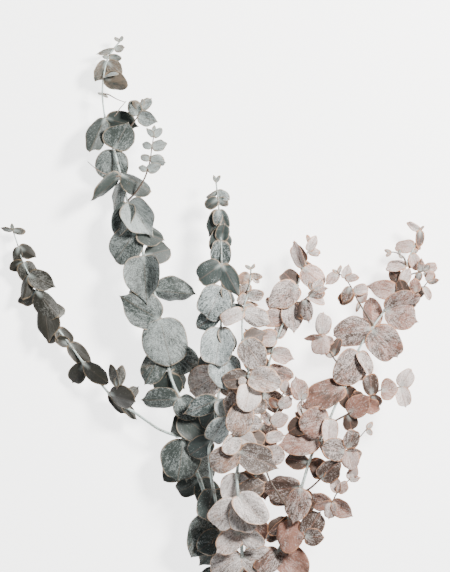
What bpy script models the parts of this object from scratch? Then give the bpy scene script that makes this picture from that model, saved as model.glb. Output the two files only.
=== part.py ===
"""A bunch of dried silver-dollar eucalyptus, tied with twine and lying on a flat surface.

Tables are in millimetres and degrees, in a plan seen from above: x to the right, y from the
cut ends towards the tips, z up from the surface.  The finished bunch is moved so that the
middle of its box is the origin and its lowest point is at z = 0.
"""

import itertools
import math

import bmesh
import bpy
import numpy as np
from mathutils import Vector
from mathutils.bvhtree import BVHTree

MM = 0.001
BLADE = 0.8  # thickness of a leaf at its midrib
GAP = 0.35  # clearance between neighbouring nodes
COLLAR_WALL = 1.3
COLLAR_LENGTH = 2.4
TIE_Y = 22.0  # where the twine holds the stems
TIE_CENTRE_Z = 7.6
TIE_INNER = (9.6, 5.9)  # half width and half height inside the twine
TWINE = 1.7  # diameter of the twine
TIE_TURNS = 5

# Stem routes from the cut end to the tip, with the radius at both ends.
STEMS = {
    "tall_left": (
        (2.2, 0.7),
        (-8, -24, 2.8), (-4.8, 22, 5.4), (-10, 68, 10), (-20, 110, 16), (-32, 150, 21),
        (-45, 185, 25), (-52, 203, 26), (-55, 230, 28), (-56, 242, 29), (-66, 269, 30),
        (-75, 321, 30), (-85, 365, 29), (-91, 384, 28), (-107, 437, 27), (-121, 490, 24),
        (-130, 522, 22), (-133, 548, 20), (-130.5, 573, 17), (-125, 588, 15), (-114, 602, 13),
    ),
    "mid_left": (
        (2.1, 0.7),
        (-1, -20, 2.7), (0, 22, 5.4), (-6, 60, 13), (-14, 110, 25), (-23, 160, 35),
        (-26, 190, 40), (-22, 202, 42), (-19, 227, 44), (-14, 264, 46), (-11, 285, 46),
        (-14, 312, 46), (-13, 353, 44), (-14, 398, 38), (-16, 430, 32), (-19, 459, 27),
    ),
    "centre": (
        (2.2, 0.7),
        (-4, -23, 7.6), (-2.4, 22, 9.4), (5, 60, 24), (7, 84, 34), (5, 112, 44),
        (3, 140, 54), (2, 168, 60), (4, 191, 63), (0, 207, 63), (4, 222, 62),
        (12, 240, 60), (15, 253, 59), (13, 270, 58), (9, 290, 57), (7, 310, 55),
        (8, 329, 52), (12, 345, 48), (15, 360, 44), (16, 372, 40),
    ),
    "mid_right": (
        (2.0, 0.6),
        (7, -25, 2.6), (4.8, 22, 5.4), (9, 60, 10), (14, 110, 18), (20, 160, 26),
        (25, 210, 33), (28, 240, 37), (31, 262, 39), (36, 285, 41), (43, 305, 42),
        (51, 325, 42), (58, 342, 41), (64, 360, 38), (70, 380, 34), (76, 397, 30),
    ),
    "far_right": (
        (2.2, 0.6),
        (4, -21, 7.8), (2.4, 22, 9.4), (13, 52, 15), (35, 80, 28), (45, 92, 32),
        (54, 122, 38), (66, 153, 42), (76, 185, 44), (89, 210, 45), (100, 235, 45),
        (110, 256, 44), (122, 288, 40), (136, 311, 37), (150, 330, 34), (165, 350, 30),
        (169, 365, 28), (173, 380, 26), (180, 394, 23), (186, 411, 20),
    ),
    "low_left": (
        (1.5, 0.6),
        (-55, 203.6, 26), (-61, 205, 26), (-70, 208, 25.5), (-80, 213, 25), (-100, 227, 24),
        (-115, 236, 23), (-125, 245, 22), (-137, 259, 20), (-153, 278, 19), (-167, 297, 18),
        (-183, 318, 17), (-197, 345, 16), (-204, 360, 15), (-213, 378, 14), (-218, 394, 13),
        (-224, 412, 12),
    ),
}

# A leaf is (heading, length, width, lift, roll, fold, shade): heading of its midrib in plan,
# rise of its tip, turn about its midrib and rise of each half from the midrib, in degrees; a
# negative lift hangs it from the underside of its stem.  shade runs from 0, dark, to 1, pale.
# A row is the height y of its place on the stem, then its leaves.

# Opposite leaves that clasp their stem as one collar.
PAIRS = {
    "tall_left": (
        (522, (253, 37, 26, 6, 25, -26, 0.3), (-20, 31, 24, 12, -20, -15, 0.12)),
        (491, (60, 27, 35, 16, 0, 6, 0.4), (264, 33, 34, -8, 0, 4, 0.55)),
        (465, (238, 37, 26, 10, 42, -12, 0.25), (-22, 35, 29, 12, 20, -28, 0.25)),
        (437, (250, 34, 30, 8, -8, 8, 0.45), (-54, 36, 37, 14, 0, 28, 0.85)),
        (408, (232, 37, 34, 8, 0, 6, 0.55), (-16, 26, 25, 8, -20, 12, 0.15)),
        (384, (267, 42, 46, 12, 0, 8, 0.55), (15, 27, 25, -12, 0, 8, 0.25)),
        (350, (-10, 40, 34, 14, -15, -32, 0.45), (205, 30, 28, -12, 0, 8, 0.3)),
        (321, (144, 40, 38, 8, 12, 5, 0.5), (-76, 48, 47, 12, 0, 4, 0.62)),
        (292, (240, 40, 29, 6, 20, -24, 0.35), (-32, 37, 36, 6, 0, 8, 0.48)),
        (242, (188, 35, 27, 8, 28, -10, 0.4), (-52, 26, 26, 12, 0, 8, 0.45)),
        (201, (262, 41, 44, 14, 0, -20, 0.38), (300, 30, 28, -14, 0, 8, 0.2)),
        (124, (246, 42, 40, 8, 0, 5, 0.45), (-58, 32, 26, -10, 0, 5, 0.2)),
    ),
    "low_left": (
        (348, (-50, 33, 28, 10, 0, -10, 0.38), (210, 22, 18, -16, 0, 5, 0.2)),
        (333, (-82, 31, 28, 6, 0, -6, 0.08), (-34, 22, 17, 14, 62, 0, 0.7)),
        (276, (-43, 31, 20, 8, -20, -8, 0.15), (238, 24, 19, -14, 0, 8, 0.15)),
        (246, (-22, 32, 25, 8, 0, -10, 0.22), (-50, 25, 18, -6, 40, 0, 0.1)),
    ),
    "mid_left": (
        (375, (215, 27, 26, 6, 0, 6, 0.3), (-62, 33, 19, 6, 0, -8, 0.2)),
        (353, (252, 35, 34, 12, 0, 6, 0.62), (-44, 22, 19, 5, 0, 5, 0.2)),
        (329, (222, 29, 24, 4, 0, 6, 0.35), (4, 24, 18, 5, 30, 0, 0.35)),
        (312, (262, 38, 37, 14, 0, 5, 0.68), (-58, 26, 18, 4, 20, 5, 0.4)),
        (285, (276, 32, 34, 14, 0, 6, 0.66), (205, 27, 20, -4, 0, 6, 0.2)),
        (266, (222, 42, 38, 10, 0, 6, 0.6), (-50, 30, 28, -10, 0, 8, 0.3)),
    ),
    "centre": (
        (300, (-56, 33, 28, 12, 0, 6, 0.62), (20, 22, 19, -6, 0, 6, 0.15)),
        (264, (-14, 32, 28, 10, 0, 6, 0.72), (190, 26, 20, -8, 0, 6, 0.45)),
        (238, (250, 34, 27, 12, 0, 8, 0.5), (-12, 22, 18, -6, 0, 6, 0.4)),
        (191, (212, 31, 28, 10, 0, 6, 0.42), (-24, 36, 31, 10, 0, 6, 0.4)),
        (168, (266, 34, 33, -6, 0, 6, 0.85), (-60, 32, 26, -10, 0, 6, 0.3)),
        (140, (-66, 31, 34, 16, 0, 6, 0.6), (222, 34, 30, 6, 0, 6, 0.6)),
    ),
    "mid_right": (
        (372, (-42, 27, 24, 12, 0, -8, 0.6), (112, 26, 15, 10, 30, 6, 0.75)),
        (354, (222, 33, 27, 12, 0, 6, 0.72), (130, 22, 20, -8, 0, 6, 0.15)),
    ),
    "far_right": (
        (330, (22, 34, 27, 14, -28, -12, 0.5), (-20, 31, 29, 4, 0, 6, 0.5)),
        (311, (188, 38, 33, 12, 0, -12, 0.5), (-48, 38, 35, 8, 0, 6, 0.5)),
        (288, (243, 39, 32, 10, 0, -10, 0.5), (-58, 25, 18, 6, 30, 6, 0.6)),
        (254, (206, 42, 31, 10, 0, -10, 0.35), (-70, 25, 22, -10, 0, 6, 0.1)),
        (222, (202, 31, 35, 8, 0, 6, 0.5), (264, 28, 19, 12, 25, 8, 0.8)),
        (201, (188, 38, 28, 12, 0, -6, 0.55), (-48, 25, 20, -8, 0, 6, 0.15)),
        (153, (188, 35, 36, -4, 0, 6, 0.35), (262, 32, 29, 12, 0, 6, 0.5)),
        (122, (268, 33, 29, 10, 0, -8, 0.4), (228, 33, 22, -4, 20, 6, 0.25)),
    ),
}

# Smaller leaves, and those whose bases have grown into the wood of their stem.
GROWN = {
    "tall_left": (
        (600, (60, 6, 4, 20, 0, 0, 0.8), (150, 7, 4, 10, 0, 0, 0.7)),
        (592, (200, 17, 12, 10, 66, 0, 0.5), (10, 10, 9, 10, 0, 0, 0.6)),
        (584, (-8, 13, 8, 14, 0, 5, 0.5), (178, 6, 5, 10, 0, 0, 0.6)),
        (579, (240, 22, 16, 8, 20, -20, 0.3), (-40, 18, 15, 8, 0, 8, 0.45)),
        (563, (-18, 25, 21, 8, 0, -8, 0.12), (24, 17, 12, 22, 60, 0, 0.85)),
        (546, (160, 5, 3, 10, 0, 0, 0.5), (-28, 6, 3, 10, 0, 0, 0.5)),
        (457, (238, 33, 25, 6, -10, -22, 0.5),),
        (352, (160, 24, 20, -14, 0, 8, 0.3),),
        (268, (262, 28, 30, -6, 0, -6, 0.12), (-50, 24, 22, -14, 0, 5, 0.2)),
        (226, (262, 27, 20, -6, 10, 8, 0.18), (-38, 40, 35, 4, 0, -6, 0.2)),
        (183, (222, 36, 23, -6, 0, 4, 0.22), (-55, 43, 35, 8, 0, 5, 0.5)),
        (160, (-58, 38, 28, -5, 0, -8, 0.22), (205, 26, 22, -12, 0, 5, 0.25)),
        (94, (-68, 30, 23, 4, 0, -5, 0.18), (228, 28, 25, -12, 0, 5, 0.25)),
        (66, (216, 33, 30, 6, 0, 6, 0.4), (-66, 28, 25, -8, 0, 6, 0.3)),
    ),
    "low_left": (
        (410, (100, 7, 4, 20, 0, 0, 0.4), (178, 12, 8, 8, 55, 0, 0.5), (-6, 13, 8, 10, 20, 0, 0.4)),
        (393, (262, 17, 11, 6, 0, 5, 0.4), (-30, 19, 15, 8, 0, -8, 0.12)),
        (378, (-68, 23, 21, 10, 0, -6, 0.4), (200, 16, 13, -12, 0, 5, 0.2)),
        (365, (258, 25, 16, 6, 0, -14, 0.15), (-25, 26, 21, 8, 0, 6, 0.45)),
        (311, (-52, 24, 17, 6, 10, -14, 0.12), (236, 18, 14, -14, 0, 5, 0.15)),
        (296, (-52, 30, 18, 6, 20, -10, 0.12), (160, 15, 12, -14, 0, 5, 0.15)),
        (235, (48, 23, 17, 14, 0, 8, 0.85), (-40, 20, 12, -6, 30, 0, 0.12)),
    ),
    "mid_left": (
        (458, (110, 7, 4, 20, 0, 0, 0.5), (60, 8, 4, 20, 0, 0, 0.6)),
        (449, (225, 13, 8, 8, 60, 0, 0.5), (-35, 15, 10, 12, 0, 5, 0.75)),
        (441, (215, 15, 13, 8, 0, 5, 0.3), (-30, 12, 10, -5, 0, 5, 0.4)),
        (430, (250, 26, 15, 6, 0, -8, 0.35), (-64, 20, 12, 6, 0, 8, 0.4), (268, 16, 11, 14, 0, 5, 0.5)),
        (411, (248, 23, 13, 5, 0, -8, 0.15), (-62, 20, 12, 5, 0, -8, 0.18)),
        (399, (268, 27, 22, 12, 0, 6, 0.5), (80, 17, 15, -10, 0, 5, 0.2)),
        (241, (206, 31, 24, 8, 10, 6, 0.4), (-58, 27, 19, 10, 0, 14, 0.8)),
        (232, (-64, 29, 20, 8, 48, 0, 0.5), (238, 28, 24, -10, 0, 6, 0.2)),
        (200, (58, 32, 25, 8, 0, 6, 0.6), (214, 28, 24, -10, 0, 6, 0.25)),
        (150, (255, 32, 28, -6, 0, 6, 0.25), (-70, 28, 26, -10, 0, 6, 0.3)),
        (105, (215, 28, 26, -6, 0, 6, 0.3), (-80, 26, 24, -10, 0, 6, 0.3)),
    ),
    "centre": (
        (371, (150, 7, 4, 20, 0, 0, 0.4), (50, 6, 4, 20, 0, 0, 0.6)),
        (365, (215, 14, 14, 12, 0, 6, 0.3), (-12, 12, 7, 14, 0, 5, 0.5), (-42, 12, 6, 10, 20, 0, 0.7)),
        (356, (225, 13, 12, 8, 0, 6, 0.5), (170, 9, 7, -8, 0, 0, 0.4)),
        (345, (-2, 17, 13, 12, 0, 6, 0.6), (225, 12, 11, 8, 0, 5, 0.6)),
        (336, (-6, 13, 8, -6, 0, 5, 0.25), (-30, 12, 8, 8, 0, 5, 0.5)),
        (329, (206, 25, 18, 12, 0, 6, 0.9), (-24, 27, 20, 12, 0, 6, 0.8)),
        (255, (262, 27, 28, 16, 0, 20, 0.92), (50, 15, 12, 14, 0, 6, 0.8), (140, 13, 10, 10, 0, 5, 0.75)),
        (220, (-8, 23, 19, 10, 0, 6, 0.6), (106, 32, 22, -8, 0, 6, 0.4)),
        (206, (240, 23, 18, 10, 0, 6, 0.75), (-25, 19, 19, 12, 0, 6, 0.9), (-15, 29, 26, -10, 0, 6, 0.15)),
        (147, (-46, 40, 31, 8, 0, 6, 0.7), (22, 28, 22, -4, 0, 6, 0.35)),
        (110, (-30, 27, 22, 12, 0, 6, 0.6), (222, 30, 24, 8, 0, 6, 0.62), (196, 18, 12, 14, 0, 0, 0.6)),
        (84, (205, 34, 30, 8, 0, 6, 0.5), (-14, 35, 31, 8, 0, 6, 0.5)),
        (56, (240, 32, 28, 8, 0, 6, 0.5), (-50, 32, 28, 6, 0, 6, 0.45)),
    ),
    "mid_right": (
        (396, (78, 7, 4, 20, 0, 0, 0.7), (112, 10, 5, 14, 0, 0, 0.7)),
        (389, (64, 17, 11, 12, 0, 6, 0.85), (-12, 12, 9, 12, 0, 6, 0.7)),
        (378, (122, 20, 15, 10, 0, 8, 0.15), (-48, 18, 11, -5, 25, 5, 0.2), (-75, 13, 11, 10, 0, 0, 0.15)),
        (337, (268, 27, 23, 14, 0, 6, 0.7), (170, 17, 15, -8, 0, 6, 0.3)),
        (323, (126, 27, 17, 6, 0, 6, 0.62), (184, 24, 19, 10, 0, 6, 0.6), (166, 12, 11, 16, 0, 5, 0.85)),
        (302, (178, 21, 19, 12, 0, 6, 0.85), (72, 24, 14, 4, 20, 6, 0.75)),
        (288, (140, 34, 22, -6, 0, 6, 0.1), (-18, 20, 18, 12, 0, 10, 0.75)),
        (272, (-20, 26, 17, 6, 0, 6, 0.4), (160, 28, 22, -10, 0, 6, 0.1)),
        (246, (-35, 26, 22, -4, 0, 6, 0.35), (200, 26, 22, -8, 0, 6, 0.15)),
        (216, (-60, 26, 24, -6, 0, 6, 0.3), (215, 26, 22, -8, 0, 6, 0.15)),
        (168, (-72, 28, 24, -6, 0, 6, 0.3), (240, 28, 24, -8, 0, 6, 0.2)),
        (120, (-60, 28, 26, -6, 0, 6, 0.3), (250, 26, 24, -8, 0, 6, 0.2)),
        (72, (-30, 28, 26, 4, 0, 6, 0.35), (250, 26, 24, -6, 0, 6, 0.25)),
    ),
    "far_right": (
        (410, (48, 6, 3, 20, 0, 0, 0.6), (156, 15, 8, 12, 30, 0, 0.85), (266, 18, 10, 6, 20, 5, 0.2)),
        (395, (188, 20, 14, 12, 0, 6, 0.75), (-30, 8, 6, -8, 0, 0, 0.3)),
        (387, (-72, 18, 13, 12, 0, 6, 0.75), (30, 8, 6, -8, 0, 0, 0.4)),
        (375, (178, 21, 16, 12, 0, 6, 0.68), (10, 10, 8, -10, 0, 0, 0.3)),
        (356, (128, 21, 14, 6, 20, 6, 0.2), (60, 17, 12, 12, 0, 8, 0.85)),
        (348, (172, 29, 20, 12, 10, -6, 0.6), (-20, 16, 12, -8, 0, 5, 0.15)),
        (313, (94, 35, 23, 10, 0, -14, 0.4), (-85, 24, 22, -12, 0, 6, 0.2)),
        (270, (160, 15, 12, 8, 0, 5, 0.6), (-20, 18, 16, -10, 0, 6, 0.2)),
        (178, (-30, 24, 20, -8, 0, 6, 0.3), (170, 24, 20, -10, 0, 6, 0.2)),
        (150, (-16, 24, 20, 6, 0, 6, 0.5), (-70, 26, 24, -8, 0, 6, 0.2)),
        (120, (-50, 27, 21, -6, 0, 6, 0.12), (200, 24, 20, -12, 0, 6, 0.2)),
        (90, (226, 31, 26, 10, 0, 6, 0.4), (-40, 36, 32, 8, 0, 6, 0.38)),
        (62, (-70, 30, 26, 6, 0, 6, 0.35), (180, 26, 22, -8, 0, 6, 0.3)),
    ),
}

# Side shoots: the stem and the height y that they spring from, their route, and rows of the
# part of the way along the twig with the leaves there.
SHOOTS = {
    "tall_left_upper_shoot": (
        "tall_left", 508, ((-116, 511, 27), (-106, 513, 31), (-98, 522, 34), (-93, 533, 35)),
        (
            (0.78, (112, 17, 15, 10, 0, 8, 0.5), (-18, 18, 17, 12, 0, 6, 0.72)),
            (0.95, (45, 14, 11, 12, 0, 5, 0.7), (135, 11, 8, 10, 0, 5, 0.45)),
            (1.0, (80, 8, 5, 16, 0, 0, 0.6)),
        ),
    ),
    "tall_left_pale_shoot": (
        "tall_left", 439, ((-98, 449, 34), (-90, 462, 38), (-85, 478, 38), (-83, 492, 36), (-81, 505, 33)),
        (
            (0.5, (20, 14, 11, 12, 0, 6, 0.8), (160, 9, 7, 8, 0, 0, 0.6)),
            (0.66, (-15, 15, 13, 12, 0, 6, 0.85), (168, 10, 8, 8, 0, 5, 0.7)),
            (0.82, (15, 15, 12, 12, 0, 6, 0.9), (160, 10, 8, 8, 0, 5, 0.8)),
            (0.97, (45, 12, 8, 12, 0, 5, 0.9), (128, 10, 7, 10, 0, 5, 0.9)),
            (1.0, (88, 9, 5, 14, 0, 0, 0.9)),
        ),
    ),
    "low_left_shoot": (
        "low_left", 239, ((-118, 246, 27), (-118, 254, 30)),
        (
            (0.95, (113, 23, 13, 12, 20, -8, 0.4), (78, 22, 12, 10, -20, -8, 0.42)),
            (1.0, (95, 9, 5, 14, 0, 0, 0.5)),
        ),
    ),
    "inner_shoot": (
        "far_right", 261, ((105, 273, 49), (97, 284, 52), (91, 296, 53), (85, 307, 52)),
        (
            (0.5, (72, 20, 15, -8, 20, 5, 0.1), (150, 9, 7, 8, 0, 0, 0.6)),
            (0.98, (84, 21, 19, 10, 0, 6, 0.85), (268, 21, 21, 12, 0, -6, 0.7)),
            (0.9, (184, 18, 11, 10, 50, 0, 0.5), (-25, 12, 9, -5, 0, 0, 0.6)),
        ),
    ),
    "far_right_left_shoot": (
        "far_right", 314, ((128, 330, 42), (121, 342, 45), (116, 352, 46), (110, 361, 45), (103, 367, 43)),
        (
            (0.42, (62, 14, 12, 10, 0, 6, 0.75), (262, 10, 5, 8, 30, 0, 0.3)),
            (0.62, (12, 15, 12, 12, 0, 6, 0.72), (222, 18, 15, 8, 0, 8, 0.12)),
            (0.7, (250, 17, 12, 14, 0, 6, 0.35),),
            (0.86, (6, 14, 9, 12, 0, 5, 0.65), (76, 13, 11, 12, 0, 6, 0.92)),
            (1.0, (222, 15, 12, 12, 0, 6, 0.85), (152, 7, 4, 12, 0, 0, 0.4), (72, 8, 5, 12, 0, 0, 0.5)),
        ),
    ),
    "far_right_bud_twig": (
        "far_right", 374, ((169, 382, 30), (162, 387, 32), (156, 388, 32)),
        (
            (0.6, (76, 6, 4, 14, 0, 0, 0.3), (-50, 5, 3, 10, 0, 0, 0.3)),
            (1.0, (165, 7, 4, 12, 0, 0, 0.4), (220, 7, 4, 10, 0, 0, 0.3)),
        ),
    ),
    "far_right_upper_cluster": (
        "far_right", 363, ((177, 366, 31), (184, 368, 33), (190, 369, 33)),
        (
            (0.75, (84, 12, 9, 10, 0, 5, 0.5), (-112, 11, 8, 8, 0, 5, 0.3)),
            (0.95, (26, 14, 12, 12, 0, 6, 0.72), (-32, 13, 10, 8, 0, 6, 0.45)),
            (1.0, (120, 9, 7, 14, 0, 5, 0.6), (60, 8, 6, 14, 0, 0, 0.6)),
        ),
    ),
    "far_right_lower_cluster": (
        "far_right", 338, ((167, 340, 37), (178, 345, 39), (187, 352, 39), (192, 358, 38)),
        (
            (0.35, (112, 20, 14, -5, 0, 6, 0.12), (-60, 14, 12, -8, 0, 5, 0.3)),
            (0.62, (100, 14, 12, 8, 0, 6, 0.5), (232, 17, 13, 12, 0, 6, 0.8)),
            (0.85, (-62, 15, 9, 10, 20, 6, 0.8), (-108, 12, 9, -5, 0, 5, 0.12)),
            (1.0, (66, 12, 9, 12, 0, 6, 0.8), (10, 11, 7, 10, 0, 5, 0.4)),
        ),
    ),
    "right_shoot": (
        "far_right", 215,
        ((103, 222, 50), (117, 230, 53), (130, 241, 54), (145, 251, 54), (158, 253, 52), (166, 254, 50)),
        (
            (0.27, (40, 25, 23, 12, 0, -6, 0.4), (-80, 18, 16, -8, 0, 6, 0.2)),
            (0.48, (-20, 18, 17, 10, 0, 6, 0.35), (130, 14, 12, -8, 0, 6, 0.3)),
            (0.62, (96, 22, 17, 10, 0, 6, 0.35), (-60, 14, 12, -8, 0, 6, 0.3)),
            (0.74, (2, 16, 24, 12, 20, 6, 0.6),),
            (0.98, (58, 20, 17, 10, 0, 6, 0.95), (-76, 20, 17, 10, 0, 6, 0.92)),
        ),
    ),
    "right_low_shoot": (
        "far_right", 146,
        ((76, 154, 48), (88, 166, 52), (102, 181, 54), (115, 195, 54), (123, 203, 52), (131, 212, 49)),
        (
            (0.27, (44, 26, 24, 12, 0, -6, 0.38), (100, 21, 18, -6, 0, 6, 0.1)),
            (0.66, (164, 25, 24, 12, 0, 6, 0.5), (-14, 17, 15, 8, 0, 6, 0.5)),
            (0.7, (72, 21, 17, 10, 0, -6, 0.4), (-78, 20, 20, 14, 0, 6, 0.7)),
            (1.0, (50, 9, 6, 12, 0, 0, 0.85), (-50, 8, 6, 8, 0, 0, 0.7)),
        ),
    ),
    "right_bottom_shoot": (
        "far_right", 137,
        ((74, 134, 47), (88, 133, 51), (96, 139, 52), (101, 148, 52), (109, 157, 50), (116, 164, 48)),
        (
            (0.52, (158, 20, 14, 10, 25, 12, 0.45), (196, 18, 13, 8, 30, 6, 0.4)),
            (0.55, (-36, 23, 20, 12, 0, 6, 0.52), (-100, 17, 14, 8, 0, 6, 0.75)),
            (0.7, (104, 15, 13, 8, 0, 6, 0.75), (50, 14, 12, 10, 0, 6, 0.7)),
            (0.95, (70, 13, 10, 10, 0, 5, 0.8), (10, 10, 8, 8, 0, 5, 0.7)),
            (1.0, (66, 12, 10, 14, 0, 5, 0.9)),
        ),
    ),
    "right_lower_twig": (
        "far_right", 92, ((52, 93, 40), (61, 98, 44), (70, 106, 46)),
        (
            (0.97, (-4, 19, 20, 10, 0, -6, 0.4), (62, 28, 25, 14, 0, -6, 0.36)),
            (1.0, (120, 8, 6, 8, 0, 0, 0.5)),
        ),
    ),
    "centre_right_shoot": (
        "far_right", 127,
        (
            (45, 144, 47), (33, 165, 50), (28, 190, 52), (33, 210, 52), (40, 226, 52), (46, 242, 50),
            (49, 252, 48),
        ),
        (
            (0.48, (2, 21, 22, 12, 0, 6, 0.62), (88, 17, 15, -5, 0, 6, 0.15)),
            (0.6, (12, 18, 14, 12, 0, 6, 0.82), (165, 14, 12, -8, 0, 5, 0.4)),
            (0.72, (30, 18, 16, 12, 0, 6, 0.86), (124, 16, 12, 6, 0, 6, 0.5)),
            (0.86, (30, 15, 13, 12, 0, 6, 0.78), (140, 12, 10, -5, 0, 5, 0.2)),
            (0.97, (75, 13, 10, 10, 0, 6, 0.8), (8, 12, 9, 8, 0, 6, 0.85)),
            (1.0, (130, 11, 8, 12, 0, 5, 0.8), (100, 8, 5, 16, 0, 0, 0.8)),
        ),
    ),
    "inner_right_shoot": (
        "far_right", 208, ((78, 213, 49), (70, 220, 52), (66, 231, 53), (66, 242, 52)),
        (
            (0.45, (212, 20, 20, -6, 0, 6, 0.12), (60, 12, 10, -6, 0, 5, 0.3)),
            (0.55, (96, 25, 24, 14, 0, 6, 0.72), (150, 10, 8, 6, 0, 0, 0.5)),
            (0.98, (104, 22, 19, 10, 0, -5, 0.5), (50, 10, 6, 8, 0, 0, 0.7)),
            (1.0, (140, 9, 6, 10, 0, 0, 0.7)),
        ),
    ),
    "mid_right_shoot": (
        "mid_right", 338, ((65, 338, 47), (72, 343, 50), (78, 350, 50)),
        (
            (0.5, (262, 20, 16, 8, 0, 6, 0.1), (-80, 21, 17, 12, 0, 6, 0.4)),
            (0.7, (-22, 18, 11, 12, 15, 8, 0.85), (12, 17, 11, 8, 20, 8, 0.45)),
            (1.0, (48, 14, 11, 12, 0, 6, 0.72), (6, 13, 9, 10, 0, 6, 0.65), (120, 9, 7, 8, 0, 0, 0.3)),
        ),
    ),
}
TWIG_RADII = (1.1, 0.5)
STEM_STEP, TWIG_STEP = 21, 11  # distance between the sections of a stem and of a twig

# Red, green and blue of the darkest and the palest leaves of each stem, of wood and of twine.
LEAF_COLOURS = {
    "tall_left": ((0.10, 0.12, 0.11), (0.50, 0.55, 0.53)),
    "low_left": ((0.10, 0.10, 0.08), (0.42, 0.44, 0.40)),
    "mid_left": ((0.12, 0.14, 0.13), (0.52, 0.55, 0.53)),
    "centre": ((0.20, 0.16, 0.14), (0.68, 0.63, 0.60)),
    "mid_right": ((0.22, 0.14, 0.11), (0.72, 0.60, 0.55)),
    "far_right": ((0.22, 0.14, 0.11), (0.70, 0.57, 0.52)),
}
STEM_COLOUR = (0.36, 0.42, 0.38)
TWINE_COLOUR = (0.45, 0.31, 0.17)
LEAF_ROUGHNESS, STEM_ROUGHNESS, TWINE_ROUGHNESS = 0.75, 0.7, 0.9
SMOOTH_BELOW = math.radians(40)  # edges that turn less than this are shaded smooth

# Small changes of lift, roll and heading that let a leaf grow into free space, least first.
CHANGES = sorted(
    itertools.product(
        (0, 6, -6, 12, -12, 18, -18, 26, -26, 36, -36, 48),
        (0, 10, -10, 20, -20, 32, -32, 46, -46),
        (0, 7, -7, 14, -14),
    ),
    key=lambda change: sum((part / size) ** 2 for part, size in zip(change, (10, 14, 7))),
)
LONG_LEAF = 34  # leaves from this length up get a finer grid
SMALLEST_LEAF = 10  # shorter ones are buds, which are left out of the solid
SAME_STATION = 9  # leaves of a node that start nearer together than this may meet at their bases
SIZES = (1, 0.86, 0.72)  # what is left of a leaf's size where no change frees it


def smooth_route(points, spacing):
    """A Catmull-Rom curve through the points, resampled at even steps of about the spacing."""
    points = np.array(points, float)
    ends = np.vstack([2 * points[0] - points[1], points, 2 * points[-1] - points[-2]])
    t = np.linspace(0, 1, 12, endpoint=False)[:, None]
    pieces = []
    for a, b, c, d in zip(ends, ends[1:], ends[2:], ends[3:]):
        pieces.append(
            0.5 * (2 * b + (c - a) * t + (2 * a - 5 * b + 4 * c - d) * t**2 + (3 * b - a - 3 * c + d) * t**3)
        )
    dense = np.vstack(pieces + [points[-1:]])
    along = np.concatenate([[0], np.cumsum(np.linalg.norm(np.diff(dense, axis=0), axis=1))])
    steps = max(2, round(along[-1] / spacing))
    even = np.linspace(0, along[-1], steps + 1)
    return np.column_stack([np.interp(even, along, dense[:, axis]) for axis in range(3)])


def place_on(route, radii, y=None, part=None):
    """The point, direction and radius of a stem at a height y, or at a part of its way."""
    count = len(route) - 1
    if part is None:
        part = np.interp(y, route[:, 1], np.linspace(0, 1, count + 1))
    index = part * count
    point = np.array([np.interp(index, range(count + 1), route[:, axis]) for axis in range(3)])
    low = min(int(index), count - 1)
    along = route[low + 1] - route[low]
    return point, along / np.linalg.norm(along), radii[0] + (radii[1] - radii[0]) * part


def blade_shape(leaf, key, rows, columns):
    """A leaf in its own frame, x across, y along its midrib, z towards its upper side.

    Rows run from base to tip at equal steps of a half turn, so that the outline is a circle
    stretched to length and width; each half rises at the fold angle plus an even curl, the
    midrib bends down along an arc, and the rim has a slow wave.
    """
    _, length, width, _, _, fold, _ = leaf
    draw = np.random.default_rng(key)
    curl = draw.uniform(-0.5, 1.1) * 30 / max(width, 12)
    bend = math.radians(draw.uniform(6, 34)) / length
    wave, phase = draw.uniform(0.01, 0.035) * width, draw.uniform(0, 6.3)
    lobes, point = draw.uniform(0.05, 0.16), draw.uniform(0.0, 0.07)
    turn = math.pi * np.linspace(0, 1, rows + 1)[:, None]
    across = np.linspace(-1, 1, columns + 1)[None, :]
    along = (1 - np.cos(turn)) / 2
    x = width / 2 * np.sin(turn) * across
    y = length * (along - lobes * across**2 * np.sin(turn) * (1 - along) ** 2)
    y = y + length * point * (1 - np.abs(across)) * along**8
    angle = math.radians(fold) + math.radians(curl) * np.abs(x)
    slope = math.radians(curl) if abs(curl) > 0.05 else math.radians(0.05)
    start = angle - slope * np.abs(x)
    side = np.sign(x) * (np.sin(start + slope * np.abs(x)) - np.sin(start)) / slope
    rise = (np.cos(start) - np.cos(start + slope * np.abs(x))) / slope
    rise = rise + wave * across**2 * np.sin(turn) * np.sin(3 * turn + phase + across)
    forward = np.sin(bend * y) / bend + rise * np.sin(bend * y)
    up = rise * np.cos(bend * y) - (1 - np.cos(bend * y)) / bend
    return np.stack([side, forward, up], axis=-1)


def leaf_frame(heading, lift, roll):
    """Columns across, along and up of a leaf with this heading, lift and roll."""
    heading, lift, roll = (math.radians(value) for value in (heading, lift, roll))
    along = np.array([math.cos(lift) * math.cos(heading), math.cos(lift) * math.sin(heading), math.sin(lift)])
    flat = np.array([math.sin(heading), -math.cos(heading), 0])
    up = np.cross(flat, along)
    across = math.cos(roll) * flat + math.sin(roll) * up
    return np.column_stack([across, along, np.cross(across, along)])


def laid_blade(shape, base, leaf, change=(0, 0, 0)):
    """The leaf's surface in the bunch, flattened where it meets the surface that it lies on."""
    lift, roll, heading = change
    turned = shape @ leaf_frame(leaf[0] + heading, leaf[3] + lift, leaf[4] + roll).T + base
    turned[..., 2] = np.maximum(turned[..., 2], BLADE / 2)
    return turned


def leaf_base(point, along, radius, leaf, clasping):
    """Where a leaf starts: in its collar's wall above or below the stem, or inside the wood."""
    heading = math.radians(leaf[0])
    side = np.array([math.cos(heading), math.sin(heading), 0])
    side = side - along * side.dot(along)
    face = 1 if leaf[3] >= 0 else -1
    radial = 0.45 * side + face * np.array([0, 0, 1.0])
    radial = radial - along * radial.dot(along)
    offset = radius + GAP + COLLAR_WALL * 0.6 if clasping else radius * 0.6
    return point + radial / np.linalg.norm(radial) * offset


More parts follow.
